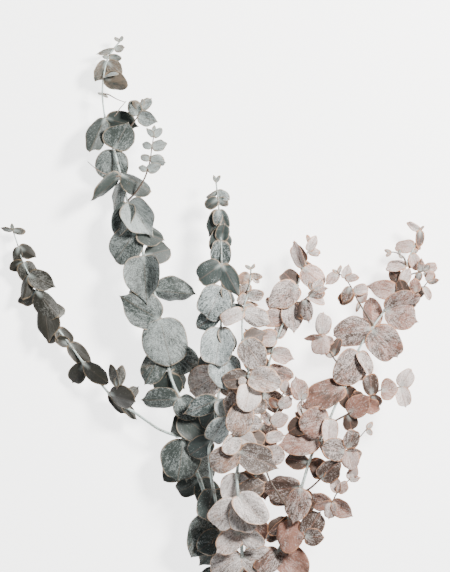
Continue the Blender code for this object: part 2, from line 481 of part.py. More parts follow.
def normals_of(surface):
    """Unit normals of a blade's grid; a pole takes the mean of the row beside it."""
    normal = np.cross(np.gradient(surface, axis=1), np.gradient(surface, axis=0))
    for end, beside in ((0, 1), (-1, -2)):
        if np.abs(normal[end]).max() < 1e-9:
            normal[end] = normal[beside].mean(axis=0)
    return normal / np.maximum(np.linalg.norm(normal, axis=2, keepdims=True), 1e-9)


def lens_of(surface):
    """Points and faces of a closed blade, thickest at its midrib and sharp at its rim.

    Each row is a ring round the blade, from the left rim over the top to the right rim and
    back below; the first and the last row are single points.  Each square of the grid is cut
    along the same diagonal above and below, so that the two sides can't pass through each other.
    """
    half = BLADE / 2 * normals_of(surface)
    over = surface + half
    under = surface - half
    rings = np.concatenate(
        [surface[1:-1, :1], over[1:-1, 1:-1], surface[1:-1, -1:], under[1:-1, -2:0:-1]], axis=1
    )
    rows, around = rings.shape[:2]
    faces = []
    for side in range(around):
        beside = (side + 1) % around
        for row in range(rows - 1):
            low, high = row * around + 1, (row + 1) * around + 1
            if side < around // 2:
                faces.append((low + side, low + beside, high + beside))
                faces.append((low + side, high + beside, high + side))
            else:
                faces.append((low + side, low + beside, high + side))
                faces.append((low + beside, high + beside, high + side))
        faces.append((0, beside + 1, side + 1))
        last = (rows - 1) * around + 1
        faces.append((last + side, last + beside, rows * around + 1))
    return np.vstack([surface[0, :1], rings.reshape(-1, 3), surface[-1, :1]]), faces


def shell_of(surface, half):
    """Points and faces of a closed shell at this distance on both sides of a blade."""
    rows, columns = surface.shape[0] - 1, surface.shape[1] - 1
    normal = normals_of(surface)
    top = (surface + half * normal).reshape(-1, 3)
    count = len(top)
    faces = []
    for row in range(rows):
        for column in range(columns):
            a = row * (columns + 1) + column
            for face in ((a, a + 1, a + columns + 2), (a, a + columns + 2, a + columns + 1)):
                faces += [face, tuple(corner + count for corner in reversed(face))]
    rim = [row * (columns + 1) for row in range(rows + 1)]
    rim += [rows * (columns + 1) + column for column in range(1, columns + 1)]
    rim += [row * (columns + 1) + columns for row in range(rows - 1, -1, -1)]
    rim += [column for column in range(columns - 1, -1, -1)]
    faces += [(a, b, b + count, a + count) for a, b in zip(rim, rim[1:])]
    return np.vstack([top, (surface - half * normal).reshape(-1, 3)]), faces


class Crowd:
    """The shapes already placed, which a new leaf has to stay clear of."""

    def __init__(self):
        self.members = []

    def add(self, node, station, whole, outer):
        points = whole[0]
        self.members.append((node, station, points.min(axis=0), points.max(axis=0), tree_of(whole), outer))

    def clear(self, node, station, whole, outer):
        """True where the whole leaf is clear of other stations, and its outer half of its own."""
        low, high = whole[0].min(axis=0), whole[0].max(axis=0)
        apart, own = [], []
        for other, place, other_low, other_high, tree, outer_tree in self.members:
            if (other_low > high).any() or (other_high < low).any():
                continue
            if other != node or (place is not None and math.dist(place, station) > SAME_STATION):
                apart.append(tree)
            elif outer_tree is not None:
                own.append(outer_tree)
        if own and any(tree_of(outer).overlap(tree) for tree in own):
            return False
        return not apart or not any(map(tree_of(whole).overlap, apart))


def tree_of(shape):
    points, faces = shape
    return BVHTree.FromPolygons([Vector(point) for point in points], faces)


def leaf_colour(stem, leaves):
    """The colour between its stem's darkest and palest leaves that is the mean of these."""
    dark, pale = np.array(LEAF_COLOURS[stem])
    return dark + (pale - dark) * np.mean([leaf[6] for leaf in leaves])


def material_for(name, colour, roughness):
    material = bpy.data.materials.new(name)
    material.use_nodes = True
    shader = material.node_tree.nodes["Principled BSDF"]
    shader.inputs["Base Color"].default_value = (*colour, 1)
    shader.inputs["Roughness"].default_value = roughness
    shader.inputs["Metallic"].default_value = 0
    material.diffuse_color = (*colour, 1)
    return material


def object_from(name, points, faces, collection):
    mesh = bpy.data.meshes.new(name)
    mesh.from_pydata([tuple(point * MM) for point in points], [], faces)
    mesh.validate()
    made = bpy.data.objects.new(name, mesh)
    collection.objects.link(made)
    return made


def tube_object(name, route, radii, resolution, collection):
    """A tapered tube along a route: a curve with a bevel and filled caps, made a mesh."""
    curve = bpy.data.curves.new(name, "CURVE")
    curve.dimensions = "3D"
    curve.bevel_depth = MM
    curve.bevel_resolution = resolution
    curve.use_fill_caps = True
    spline = curve.splines.new("POLY")
    spline.points.add(len(route) - 1)
    for index, (point, place) in enumerate(zip(spline.points, route)):
        part = index / (len(route) - 1)
        point.co = (*(place * MM), 1)
        point.radius = radii[0] + (radii[1] - radii[0]) * part
    guide = bpy.data.objects.new(name + "_guide", curve)
    collection.objects.link(guide)
    bpy.context.view_layer.update()
    graph = bpy.context.evaluated_depsgraph_get()
    mesh = bpy.data.meshes.new_from_object(guide.evaluated_get(graph))
    mesh.name = name
    bpy.data.objects.remove(guide)
    work = bmesh.new()
    work.from_mesh(mesh)
    bmesh.ops.remove_doubles(work, verts=work.verts, dist=0.00001)
    bmesh.ops.recalc_face_normals(work, faces=work.faces)
    work.to_mesh(mesh)
    work.free()
    made = bpy.data.objects.new(name, mesh)
    collection.objects.link(made)
    return made


def ring_object(name, centre, along, inner, outer, length, sides, collection):
    """A short sleeve round an axis: a turned square profile, with oval sections if given pairs."""
    frame = np.array(Vector(along).to_track_quat("Z", "X").to_matrix())
    turns = np.arange(sides) * 2 * math.pi / sides
    circle = np.stack([np.cos(turns), np.sin(turns), np.zeros(sides)], axis=1)
    rings = []
    for size, height in ((outer, -1), (outer, 1), (inner, 1), (inner, -1)):
        local = circle * np.array([*np.broadcast_to(size, 2), 0]) + (0, 0, height * length / 2)
        rings.append(local @ frame.T + centre)
    faces = [
        (
            ring * sides + side,
            ring * sides + (side + 1) % sides,
            (ring + 1) % 4 * sides + (side + 1) % sides,
            (ring + 1) % 4 * sides + side,
        )
        for ring in range(4)
        for side in range(sides)
    ]
    return object_from(name, np.vstack(rings), faces, collection)


def join_to(target, helper):
    """A live union of a hidden helper into its node."""
    helper.hide_render = True
    helper.display_type = "WIRE"
    union = target.modifiers.new("join " + helper.name, "BOOLEAN")
    union.operation = "UNION"
    union.solver = "MANIFOLD"  # EXACT drops the thin stem once a dozen leaves are joined to it
    union.object = helper


def without_pockets(node, graph):
    """Applies a node's unions, drops any sealed pocket between a leaf and its stem, and shades it."""
    work = bmesh.new()
    work.from_mesh(node.evaluated_get(graph).to_mesh())
    unseen = set(work.faces)
    pockets = []
    while unseen:
        piece, waiting = [], [unseen.pop()]
        while waiting:
            face = waiting.pop()
            piece.append(face)
            beside = {other for edge in face.edges for other in edge.link_faces} & unseen
            unseen -= beside
            waiting += beside
        if sum(face.normal.dot(face.calc_center_median()) * face.calc_area() for face in piece) < 0:
            pockets += piece
    bmesh.ops.delete(work, geom=pockets, context="FACES")
    node.modifiers.clear()
    work.to_mesh(node.data)
    work.free()
    node.data.shade_smooth()
    node.data.set_sharp_from_angle(angle=SMOOTH_BELOW)


class Bunch:
    """The nodes made so far, and the leaves that wait to be laid in the space left between them."""

    def __init__(self, parts, helpers, origin):
        self.parts, self.helpers, self.origin = parts, helpers, origin
        self.crowd = Crowd()
        self.waiting = []

    def own(self, made, material, solid_inside=True):
        made.parent = self.origin
        made.data.materials.append(material)
        bpy.context.view_layer.update()
        points = np.array([vertex.co for vertex in made.data.vertices]) / MM
        shape = (points, [tuple(face.vertices) for face in made.data.polygons])
        self.crowd.add(made.name, None, shape, tree_of(shape) if solid_inside else None)
        return made

    def grow(self, node, place, leaves, clasping):
        """Notes leaves to be laid once every stem, twig and collar is in the crowd."""
        station = tuple(place[0])
        for leaf in leaves:
            if leaf[1] < SMALLEST_LEAF:
                continue
            self.waiting.append((node, station, leaf_base(*place, leaf, clasping), leaf))

    def lay_leaves(self):
        """Lays each leaf that finds room; a few at the back of the bunch find none."""
        for key, (node, station, base, leaf) in enumerate(self.waiting):
            rows, columns = (4 if leaf[1] >= LONG_LEAF else 3), 2
            shape = blade_shape(leaf, key, rows, columns)
            surface = self.free_surface(node.name, station, base, leaf, shape)
            if surface is None:
                continue
            helper = object_from(f"leaf_{key:03d}", *lens_of(surface), self.helpers)
            helper.parent = self.origin
            join_to(node, helper)
            whole, outer = (shell_of(part, BLADE / 2) for part in (surface, surface[rows // 2 :]))
            self.crowd.add(node.name, station, whole, tree_of(outer))

    def join_leaves(self):
        bpy.context.view_layer.update()
        graph = bpy.context.evaluated_depsgraph_get()
        for node in self.parts.objects:
            without_pockets(node, graph)
        for helper in list(self.helpers.objects):
            bpy.data.objects.remove(helper)

    def free_surface(self, node, station, base, leaf, shape):
        """The leaf with the least change of size, lift, roll and heading that is clear of the rest."""
        half = BLADE / 2 + GAP
        middle = shape.shape[0] // 2
        for size, change in itertools.product(SIZES, CHANGES):
            surface = laid_blade(shape * size, base, leaf, change)
            if self.crowd.clear(node, station, shell_of(surface, half), shell_of(surface[middle:], half)):
                return surface
        return None


def make_tie(bunch):
    """Twine wound round the stems: one sleeve as wide as its turns, with a knot and two tails."""
    inner, outer = np.array(TIE_INNER), np.array(TIE_INNER) + TWINE
    centre = np.array([0, TIE_Y, TIE_CENTRE_Z])
    width = TIE_TURNS * TWINE * 0.9
    sizes = inner[::-1], outer[::-1]  # up first, then across
    tie = ring_object("twine_tie", centre, (0, 1, 0), *sizes, width, 16, bunch.parts)
    bunch.own(tie, material_for("twine_tie", TWINE_COLOUR, TWINE_ROUGHNESS))
    top = centre + (1.5, 0, outer[1])
    knot = bpy.data.meshes.new("twine_knot")
    work = bmesh.new()
    bmesh.ops.create_icosphere(work, subdivisions=1, radius=2.6 * MM)
    work.to_mesh(knot)
    work.free()
    knot = bpy.data.objects.new("twine_knot", knot)
    knot.location = top * MM
    bunch.helpers.objects.link(knot)
    knot.parent = bunch.origin
    join_to(tie, knot)
    for name, end in (("twine_tail_left", (-13, -12, -6)), ("twine_tail_right", (9, -17, -7))):
        middle = np.array(end) * (0.5, 0.45, -0.15)
        route = smooth_route([top, top + middle, top + end], 5)
        tail = tube_object(name, route, (TWINE / 2, TWINE / 2), 1, bunch.helpers)
        tail.parent = bunch.origin
        join_to(tie, tail)


def make_stems(bunch):
    """One tapered tube for each stem; returns its route and radii for what grows on it."""
    routes = {}
    for name, (radii, *points) in STEMS.items():
        route = smooth_route(points, STEM_STEP)
        tube = tube_object(f"{name}_stem", route, radii, 1, bunch.parts)
        bunch.own(tube, material_for(tube.name, STEM_COLOUR, STEM_ROUGHNESS))
        routes[name] = (route, radii)
    return routes


def make_leaf_pairs(bunch, routes):
    """A collar round the stem for each opposite pair, which its leaves are joined to."""
    for stem, rows in PAIRS.items():
        for number, (y, *leaves) in enumerate(rows, 1):
            point, along, radius = place_on(*routes[stem], y=y)
            inner = radius + GAP
            node = ring_object(
                f"{stem}_leaf_pair_{number:02d}", point, along, inner, inner + COLLAR_WALL,
                COLLAR_LENGTH, 6, bunch.parts,
            )
            material = material_for(node.name, leaf_colour(stem, leaves), LEAF_ROUGHNESS)
            bunch.own(node, material, solid_inside=False)
            bunch.grow(node, (point, along, radius), leaves, True)


def make_shoots(bunch, routes):
    """A twig for each side shoot, starting just clear of its stem, with its leaves."""
    for name, (stem, y, points, rows) in SHOOTS.items():
        start, _, radius = place_on(*routes[stem], y=y)
        out = np.array(points[0]) - start
        start = start + out / np.linalg.norm(out) * (radius + TWIG_RADII[0] + 2 * GAP)
        route = smooth_route([start, *points], TWIG_STEP)
        node = tube_object(name, route, TWIG_RADII, 0, bunch.parts)
        on_twig = [leaf for _, *leaves in rows for leaf in leaves]
        bunch.own(node, material_for(name, leaf_colour(stem, on_twig), LEAF_ROUGHNESS))
        for part, *leaves in rows:
            bunch.grow(node, place_on(route, TWIG_RADII, part=part), leaves, False)


def make_grown_leaves(bunch, routes):
    """Leaves that are joined straight to the wood of their stem."""
    for stem, rows in GROWN.items():
        for y, *leaves in rows:
            place = place_on(*routes[stem], y=y)
            bunch.grow(bpy.data.objects[f"{stem}_stem"], place, leaves, False)


def centre_on_origin(bunch):
    """Moves the whole bunch so that its box stands on the origin."""
    bpy.context.view_layer.update()
    graph = bpy.context.evaluated_depsgraph_get()
    corners = []
    for node in bunch.parts.objects:
        evaluated = node.evaluated_get(graph)
        mesh = evaluated.to_mesh()
        points = np.array([vertex.co for vertex in mesh.vertices])
        corners += [points.min(axis=0), points.max(axis=0)]
        evaluated.to_mesh_clear()
    low, high = np.min(corners, axis=0), np.max(corners, axis=0)
    bunch.origin.location = (-(low[0] + high[0]) / 2, -(low[1] + high[1]) / 2, -low[2])


def main():
    for old in list(bpy.data.objects):
        bpy.data.objects.remove(old)
    parts = bpy.data.collections.new("Bunch of dried eucalyptus")
    helpers = bpy.data.collections.new("Leaves before joining")
    helpers.hide_render = True
    for collection in (parts, helpers):
        bpy.context.scene.collection.children.link(collection)
    origin = bpy.data.objects.new("bunch_origin", None)
    bpy.context.scene.collection.objects.link(origin)
    bunch = Bunch(parts, helpers, origin)
    make_tie(bunch)
    routes = make_stems(bunch)
    make_leaf_pairs(bunch, routes)
    make_shoots(bunch, routes)
    make_grown_leaves(bunch, routes)
    bunch.lay_leaves()
    bunch.join_leaves()
    centre_on_origin(bunch)


main()
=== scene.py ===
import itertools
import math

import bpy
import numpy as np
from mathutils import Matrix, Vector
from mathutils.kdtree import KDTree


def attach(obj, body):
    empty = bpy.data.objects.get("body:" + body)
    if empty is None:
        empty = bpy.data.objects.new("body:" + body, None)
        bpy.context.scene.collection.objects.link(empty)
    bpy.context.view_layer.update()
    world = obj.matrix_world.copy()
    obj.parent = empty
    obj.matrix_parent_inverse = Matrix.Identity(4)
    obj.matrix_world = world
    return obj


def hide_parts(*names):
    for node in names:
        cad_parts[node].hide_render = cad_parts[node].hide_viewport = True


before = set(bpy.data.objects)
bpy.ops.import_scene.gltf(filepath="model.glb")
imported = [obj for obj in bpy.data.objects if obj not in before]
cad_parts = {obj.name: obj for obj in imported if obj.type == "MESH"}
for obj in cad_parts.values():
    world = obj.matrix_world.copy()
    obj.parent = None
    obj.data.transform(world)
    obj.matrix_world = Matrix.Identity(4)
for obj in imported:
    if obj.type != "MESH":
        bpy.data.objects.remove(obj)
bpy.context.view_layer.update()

# A bunch of dried silver-dollar eucalyptus, tied with twine and lying on a pale floor.
#
# Lengths are in millimetres unless a comment says metres, in a plan seen from above: x to the
# right, y from the cut ends towards the tips, z up from the floor.  The frame holds the same
# bunch moved sideways, so every surface is worked out in the plan and moved once, when it
# becomes a mesh.

MM = 0.001
GAP = 0.35  # clearance that the solids keep from each other
COLLAR_WALL = 1.3
BLADE = 0.8  # thickness of a solid's leaf at its midrib
SKIN = 0.42  # thickness of a real dried leaf with its veins
TWIG_RADII, BARE_RADII = (1.1, 0.5), (0.8, 0.35)
STEM_STEP, TWIG_STEP = 21, 11  # distances between the sections of the solids' wood
SECTION = 1.4  # distance between the sections of wood that are drawn

# Leaves as the solids lay them.
LONG_LEAF = 34  # a solid's leaf has four rows from this length up, and three below it
SMALLEST_LEAF = 10  # shorter ones are buds, which the solids leave out
SIZES = (1, 0.86, 0.72)
CHANGES = sorted(  # of lift, roll and heading, in degrees, the least change first
    itertools.product(
        (0, 6, -6, 12, -12, 18, -18, 26, -26, 36, -36, 48),
        (0, 10, -10, 20, -20, 32, -32, 46, -46),
        (0, 7, -7, 14, -14),
    ),
    key=lambda change: sum((part / size) ** 2 for part, size in zip(change, (10, 14, 7))),
)
FOUND = 0.06  # how near to a solid's corner a leaf's own corner has to be

# Leaves as they have dried: shares of all leaves, and ranges of degrees or of the leaf's size.
ONE_HALF_FOLDED, FOLD = 0.55, (12, 42)
FOLDED_ALREADY = 14  # a leaf that the tables fold by more than this isn't folded again
ROLLED, ROLL, CURL = 0.12, (-230, -150), (-80, 50)  # few rims roll right in; the rest curl
BLUNT_CORNERS, FAN = (0.015, 0.055), (-0.32, 0.2)
POINTED, POINT = 0.4, (0.06, 0.16)
VEIN_SPACING, VEIN_SLANT = 4.2, 0.8
LEAF_GRID = ((10, 6), (16, 10), (24, 14))  # rows and columns of a small, a middling and a large leaf
GRID_FROM = (13, 24)  # lengths from which a leaf is middling, and large
BROWNED_FROM, BROWNED = 530, 0.9  # the leaves at the top of the tall stem have browned

TIE_Y, TIE_CENTRE_Z = 22.0, 7.6
TIE_INNER = (9.6, 5.9)
TIE_TURNS = 5
TWINE = 1.7  # diameter of the twine
PLY_TURN = 1.9  # length of twine in which its plies turn once

# The studio, in metres.
VIEW_HEIGHT = 0.572  # length of floor that the camera takes in from top to bottom
VIEW_MIDDLE = (-0.010, 0.354)  # in the plan
LEAF_LEVEL = 0.03
FLOOR_DROP = 0.0004
FLOOR_RADIUS, WALL_RADIUS, WALL_HEIGHT = 9.5, 13.0, 2.5  # the wall's foot is a wide curve
FLOOR_GLOW, WALL_GLOW = 2.9, 1.6


def numbers(text):
    """Tuples of numbers: spaces part the numbers, and commas part the tuples."""
    return tuple(tuple(map(float, part.split())) for part in text.split(","))


def table(text):
    """Rows of a place and the leaves that grow there, one to a line."""
    return tuple((place, *leaves) for (place,), *leaves in map(numbers, text.strip().splitlines()))


# Stem routes from the cut end to the tip: first the radius at both ends, then the points.
STEMS = {
    "tall_left": numbers("""
        2.2 .7, -8 -24 2.8, -4.8 22 5.4, -10 68 10, -20 110 16, -32 150 21, -45 185 25, -52 203 26,
        -55 230 28, -56 242 29, -66 269 30, -75 321 30, -85 365 29, -91 384 28, -107 437 27, -121 490 24,
        -130 522 22, -133 548 20, -130.5 573 17, -125 588 15, -114 602 13
    """),
    "mid_left": numbers("""
        2.1 .7, -1 -20 2.7, 0 22 5.4, -6 60 13, -14 110 25, -23 160 35, -26 190 40, -22 202 42,
        -19 227 44, -14 264 46, -11 285 46, -14 312 46, -13 353 44, -14 398 38, -16 430 32, -19 459 27
    """),
    "centre": numbers("""
        2.2 .7, -4 -23 7.6, -2.4 22 9.4, 5 60 24, 7 84 34, 5 112 44, 3 140 54, 2 168 60, 4 191 63,
        0 207 63, 4 222 62, 12 240 60, 15 253 59, 13 270 58, 9 290 57, 7 310 55, 8 329 52, 12 345 48,
        15 360 44, 16 372 40
    """),
    "mid_right": numbers("""
        2.0 .6, 7 -25 2.6, 4.8 22 5.4, 9 60 10, 14 110 18, 20 160 26, 25 210 33, 28 240 37, 31 262 39,
        36 285 41, 43 305 42, 51 325 42, 58 342 41, 64 360 38, 70 380 34, 76 397 30
    """),
    "far_right": numbers("""
        2.2 .6, 4 -21 7.8, 2.4 22 9.4, 13 52 15, 35 80 28, 45 92 32, 54 122 38, 66 153 42, 76 185 44,
        89 210 45, 100 235 45, 110 256 44, 122 288 40, 136 311 37, 150 330 34, 165 350 30, 169 365 28,
        173 380 26, 180 394 23, 186 411 20
    """),
    "low_left": numbers("""
        1.5 .6, -55 203.6 26, -61 205 26, -70 208 25.5, -80 213 25, -100 227 24, -115 236 23, -125 245 22,
        -137 259 20, -153 278 19, -167 297 18, -183 318 17, -197 345 16, -204 360 15, -213 378 14,
        -218 394 13, -224 412 12
    """),
}

# A leaf is seven numbers: heading of its midrib in plan, length, width, rise of its tip (lift),
# turn about its midrib (roll), rise of each half from the midrib (fold) and shade, from 0, dark,
# to 1, pale.  Angles are in degrees; a negative lift hangs the leaf from the underside of its
# stem.  A row is the height y of its place on the stem, then its leaves.

# Opposite leaves that clasp their stem as one collar.
PAIRS = {
    "tall_left": table("""
        522, 253 37 26 6 25 -26 .3, -20 31 24 12 -20 -15 .12
        491, 60 27 35 16 0 6 .4, 264 33 34 -8 0 4 .55
        465, 238 37 26 10 42 -12 .25, -22 35 29 12 20 -28 .25
        437, 250 34 30 8 -8 8 .45, -54 36 37 14 0 28 .85
        408, 232 37 34 8 0 6 .55, -16 26 25 8 -20 12 .15
        384, 267 42 46 12 0 8 .55, 15 27 25 -12 0 8 .25
        350, -10 40 34 14 -15 -32 .45, 205 30 28 -12 0 8 .3
        321, 144 40 38 8 12 5 .5, -76 48 47 12 0 4 .62
        292, 240 40 29 6 20 -24 .35, -32 37 36 6 0 8 .48
        242, 188 35 27 8 28 -10 .4, -52 26 26 12 0 8 .45
        201, 262 41 44 14 0 -20 .38, 300 30 28 -14 0 8 .2
        124, 246 42 40 8 0 5 .45, -58 32 26 -10 0 5 .2
    """),
    "low_left": table("""
        348, -50 33 28 10 0 -10 .38, 210 22 18 -16 0 5 .2
        333, -82 31 28 6 0 -6 .08, -34 22 17 14 62 0 .7
        276, -43 31 20 8 -20 -8 .15, 238 24 19 -14 0 8 .15
        246, -22 32 25 8 0 -10 .22, -50 25 18 -6 40 0 .1
    """),
    "mid_left": table("""
        375, 215 27 26 6 0 6 .2, -62 33 19 6 0 -8 .1
        353, 252 35 34 12 0 6 .62, -44 22 19 5 0 5 .2
        329, 222 29 24 4 0 6 .35, 4 24 18 5 30 0 .35
        312, 262 38 37 14 0 5 .68, -58 26 18 4 20 5 .4
        285, 276 32 34 14 0 6 .66, 205 27 20 -4 0 6 .2
        266, 222 42 38 10 0 6 .6, -50 30 28 -10 0 8 .3
    """),
    "centre": table("""
        300, -56 33 28 12 0 6 .5, 20 22 19 -6 0 6 .15
        264, -14 32 28 10 0 6 .58, 190 26 20 -8 0 6 .35
        238, 250 34 27 12 0 8 .45, -12 22 18 -6 0 6 .4
        191, 212 31 28 10 0 6 .42, -24 36 31 10 0 6 .4
        168, 266 34 33 -6 0 6 .85, -60 32 26 -10 0 6 .3
        140, -66 31 34 16 0 6 .68, 222 34 30 6 0 6 .68
    """),
    "mid_right": table("""
        372, -42 27 24 12 0 -8 .6, 112 26 15 10 30 6 .75
        354, 222 33 27 12 0 6 .6, 130 22 20 -8 0 6 .15
    """),
    "far_right": table("""
        330, 22 34 27 14 -28 -12 .5, -20 31 29 4 0 6 .5
        311, 188 38 33 12 0 -12 .5, -48 38 35 8 0 6 .5
        288, 243 39 32 10 0 -10 .5, -58 25 18 6 30 6 .6
        254, 206 42 31 10 0 -10 .35, -70 25 22 -10 0 6 .1
        222, 202 31 35 8 0 6 .5, 264 28 19 12 25 8 .8
        201, 188 38 28 12 0 -6 .55, -48 25 20 -8 0 6 .15
        153, 188 35 36 -4 0 6 .35, 262 32 29 12 0 6 .5
        122, 268 33 29 10 0 -8 .4, 228 33 22 -4 20 6 .25
    """),
}

# Smaller leaves, and those whose bases have grown into the wood of their stem.
GROWN = {
    "tall_left": table("""
        600, 60 6 4 20 0 0 .8, 150 7 4 10 0 0 .7
        592, 200 17 12 10 66 0 .5, 10 10 9 10 0 0 .6
        584, -8 13 8 14 0 5 .5, 178 6 5 10 0 0 .6
        579, 240 22 16 8 20 -20 .3, -40 18 15 8 0 8 .45
        563, -18 25 21 8 0 -8 .12, 24 17 12 22 60 0 .85
        546, 160 5 3 10 0 0 .5, -28 6 3 10 0 0 .5
        457, 238 33 25 6 -10 -22 .5
        352, 160 24 20 -14 0 8 .3
        268, 262 28 30 -6 0 -6 .12, -50 24 22 -14 0 5 .2
        226, 262 27 20 -6 10 8 .18, -38 40 35 4 0 -6 .2
        183, 222 36 23 -6 0 4 .22, -55 43 35 8 0 5 .5
        160, -58 38 28 -5 0 -8 .22, 205 26 22 -12 0 5 .25
        94, -68 30 23 4 0 -5 .18, 228 28 25 -12 0 5 .25
        66, 216 33 30 6 0 6 .4, -66 28 25 -8 0 6 .3
    """),
    "low_left": table("""
        410, 100 7 4 20 0 0 .4, 178 12 8 8 55 0 .5, -6 13 8 10 20 0 .4
        393, 262 17 11 6 0 5 .4, -30 19 15 8 0 -8 .12
        378, -68 23 21 10 0 -6 .4, 200 16 13 -12 0 5 .2
        365, 258 25 16 6 0 -14 .15, -25 26 21 8 0 6 .45
        311, -52 24 17 6 10 -14 .12, 236 18 14 -14 0 5 .15
        296, -52 30 18 6 20 -10 .12, 160 15 12 -14 0 5 .15
        235, 48 23 17 14 0 8 .85, -40 20 12 -6 30 0 .12
    """),
    "mid_left": table("""
        458, 110 7 4 20 0 0 .4, 60 8 4 20 0 0 .5
        449, 225 13 8 8 60 0 .3, -35 15 10 12 0 5 .55
        441, 215 15 13 8 0 5 .15, -30 12 10 -5 0 5 .25
        430, 250 26 15 6 0 -8 .2, -64 20 12 6 0 8 .25, 268 16 11 14 0 5 .4
        411, 248 23 13 5 0 -8 .05, -62 20 12 5 0 -8 .1
        399, 268 27 22 12 0 6 .38, 80 17 15 -10 0 5 .1
        241, 206 31 24 8 10 6 .4, -58 27 19 10 0 14 .8
        232, -64 29 20 8 48 0 .5, 238 28 24 -10 0 6 .2
        200, 58 32 25 8 0 6 .6, 214 28 24 -10 0 6 .25
        150, 255 32 28 -6 0 6 .25, -70 28 26 -10 0 6 .3
        105, 215 28 26 -6 0 6 .3, -80 26 24 -10 0 6 .3
    """),
    "centre": table("""
        371, 150 7 4 20 0 0 .4, 50 6 4 20 0 0 .6
        365, 215 14 14 12 0 6 .3, -12 12 7 14 0 5 .5, -42 12 6 10 20 0 .7
        356, 225 13 12 8 0 6 .5, 170 9 7 -8 0 0 .4
        345, -2 17 13 12 0 6 .6, 225 12 11 8 0 5 .6
        336, -6 13 8 -6 0 5 .25, -30 12 8 8 0 5 .5
        329, 206 25 18 12 0 6 .75, -24 27 20 12 0 6 .65
        255, 262 27 28 16 0 20 .92, 50 15 12 14 0 6 .8, 140 13 10 10 0 5 .75
        220, -8 23 19 10 0 6 .6, 106 32 22 -8 0 6 .4
        206, 240 23 18 10 0 6 .75, -25 19 19 12 0 6 .9, -15 29 26 -10 0 6 .15
        147, -46 40 31 8 0 6 .7, 22 28 22 -4 0 6 .35
        110, -30 27 22 12 0 6 .66, 222 30 24 8 0 6 .68, 196 18 12 14 0 0 .6
        84, 205 34 30 8 0 6 .6, -14 35 31 8 0 6 .6
        56, 240 32 28 8 0 6 .6, -50 32 28 6 0 6 .55
    """),
    "mid_right": table("""
        396, 78 7 4 20 0 0 .7, 112 10 5 14 0 0 .7
        389, 64 17 11 12 0 6 .85, -12 12 9 12 0 6 .7
        378, 122 20 15 10 0 8 .15, -48 18 11 -5 25 5 .2, -75 13 11 10 0 0 .15
        337, 268 27 23 14 0 6 .7, 170 17 15 -8 0 6 .3
        323, 126 27 17 6 0 6 .62, 184 24 19 10 0 6 .6, 166 12 11 16 0 5 .85
        302, 178 21 19 12 0 6 .7, 72 24 14 4 20 6 .6
        288, 140 34 22 -6 0 6 .1, -18 20 18 12 0 10 .75
        272, -20 26 17 6 0 6 .4, 160 28 22 -10 0 6 .1
        246, -35 26 22 -4 0 6 .35, 200 26 22 -8 0 6 .15
        216, -60 26 24 -6 0 6 .3, 215 26 22 -8 0 6 .15
        168, -72 28 24 -6 0 6 .3, 240 28 24 -8 0 6 .2
        120, -60 28 26 -6 0 6 .3, 250 26 24 -8 0 6 .2
        72, -30 28 26 4 0 6 .35, 250 26 24 -6 0 6 .25
    """),
    "far_right": table("""
        410, 48 6 3 20 0 0 .6, 156 15 8 12 30 0 .85, 266 18 10 6 20 5 .2
        395, 188 20 14 12 0 6 .75, -30 8 6 -8 0 0 .3
        387, -72 18 13 12 0 6 .75, 30 8 6 -8 0 0 .4
        375, 178 21 16 12 0 6 .68, 10 10 8 -10 0 0 .3
        356, 128 21 14 6 20 6 .2, 60 17 12 12 0 8 .85
        348, 172 29 20 12 10 -6 .6, -20 16 12 -8 0 5 .15
        313, 94 35 23 10 0 -14 .4, -85 24 22 -12 0 6 .2
        270, 160 15 12 8 0 5 .6, -20 18 16 -10 0 6 .2
        178, -30 24 20 -8 0 6 .3, 170 24 20 -10 0 6 .2
        150, -16 24 20 6 0 6 .5, -70 26 24 -8 0 6 .2
        120, -50 27 21 -6 0 6 .12, 200 24 20 -12 0 6 .2
        90, 226 31 26 10 0 6 .4, -40 36 32 8 0 6 .38
        62, -70 30 26 6 0 6 .35, 180 26 22 -8 0 6 .3
    """),
}

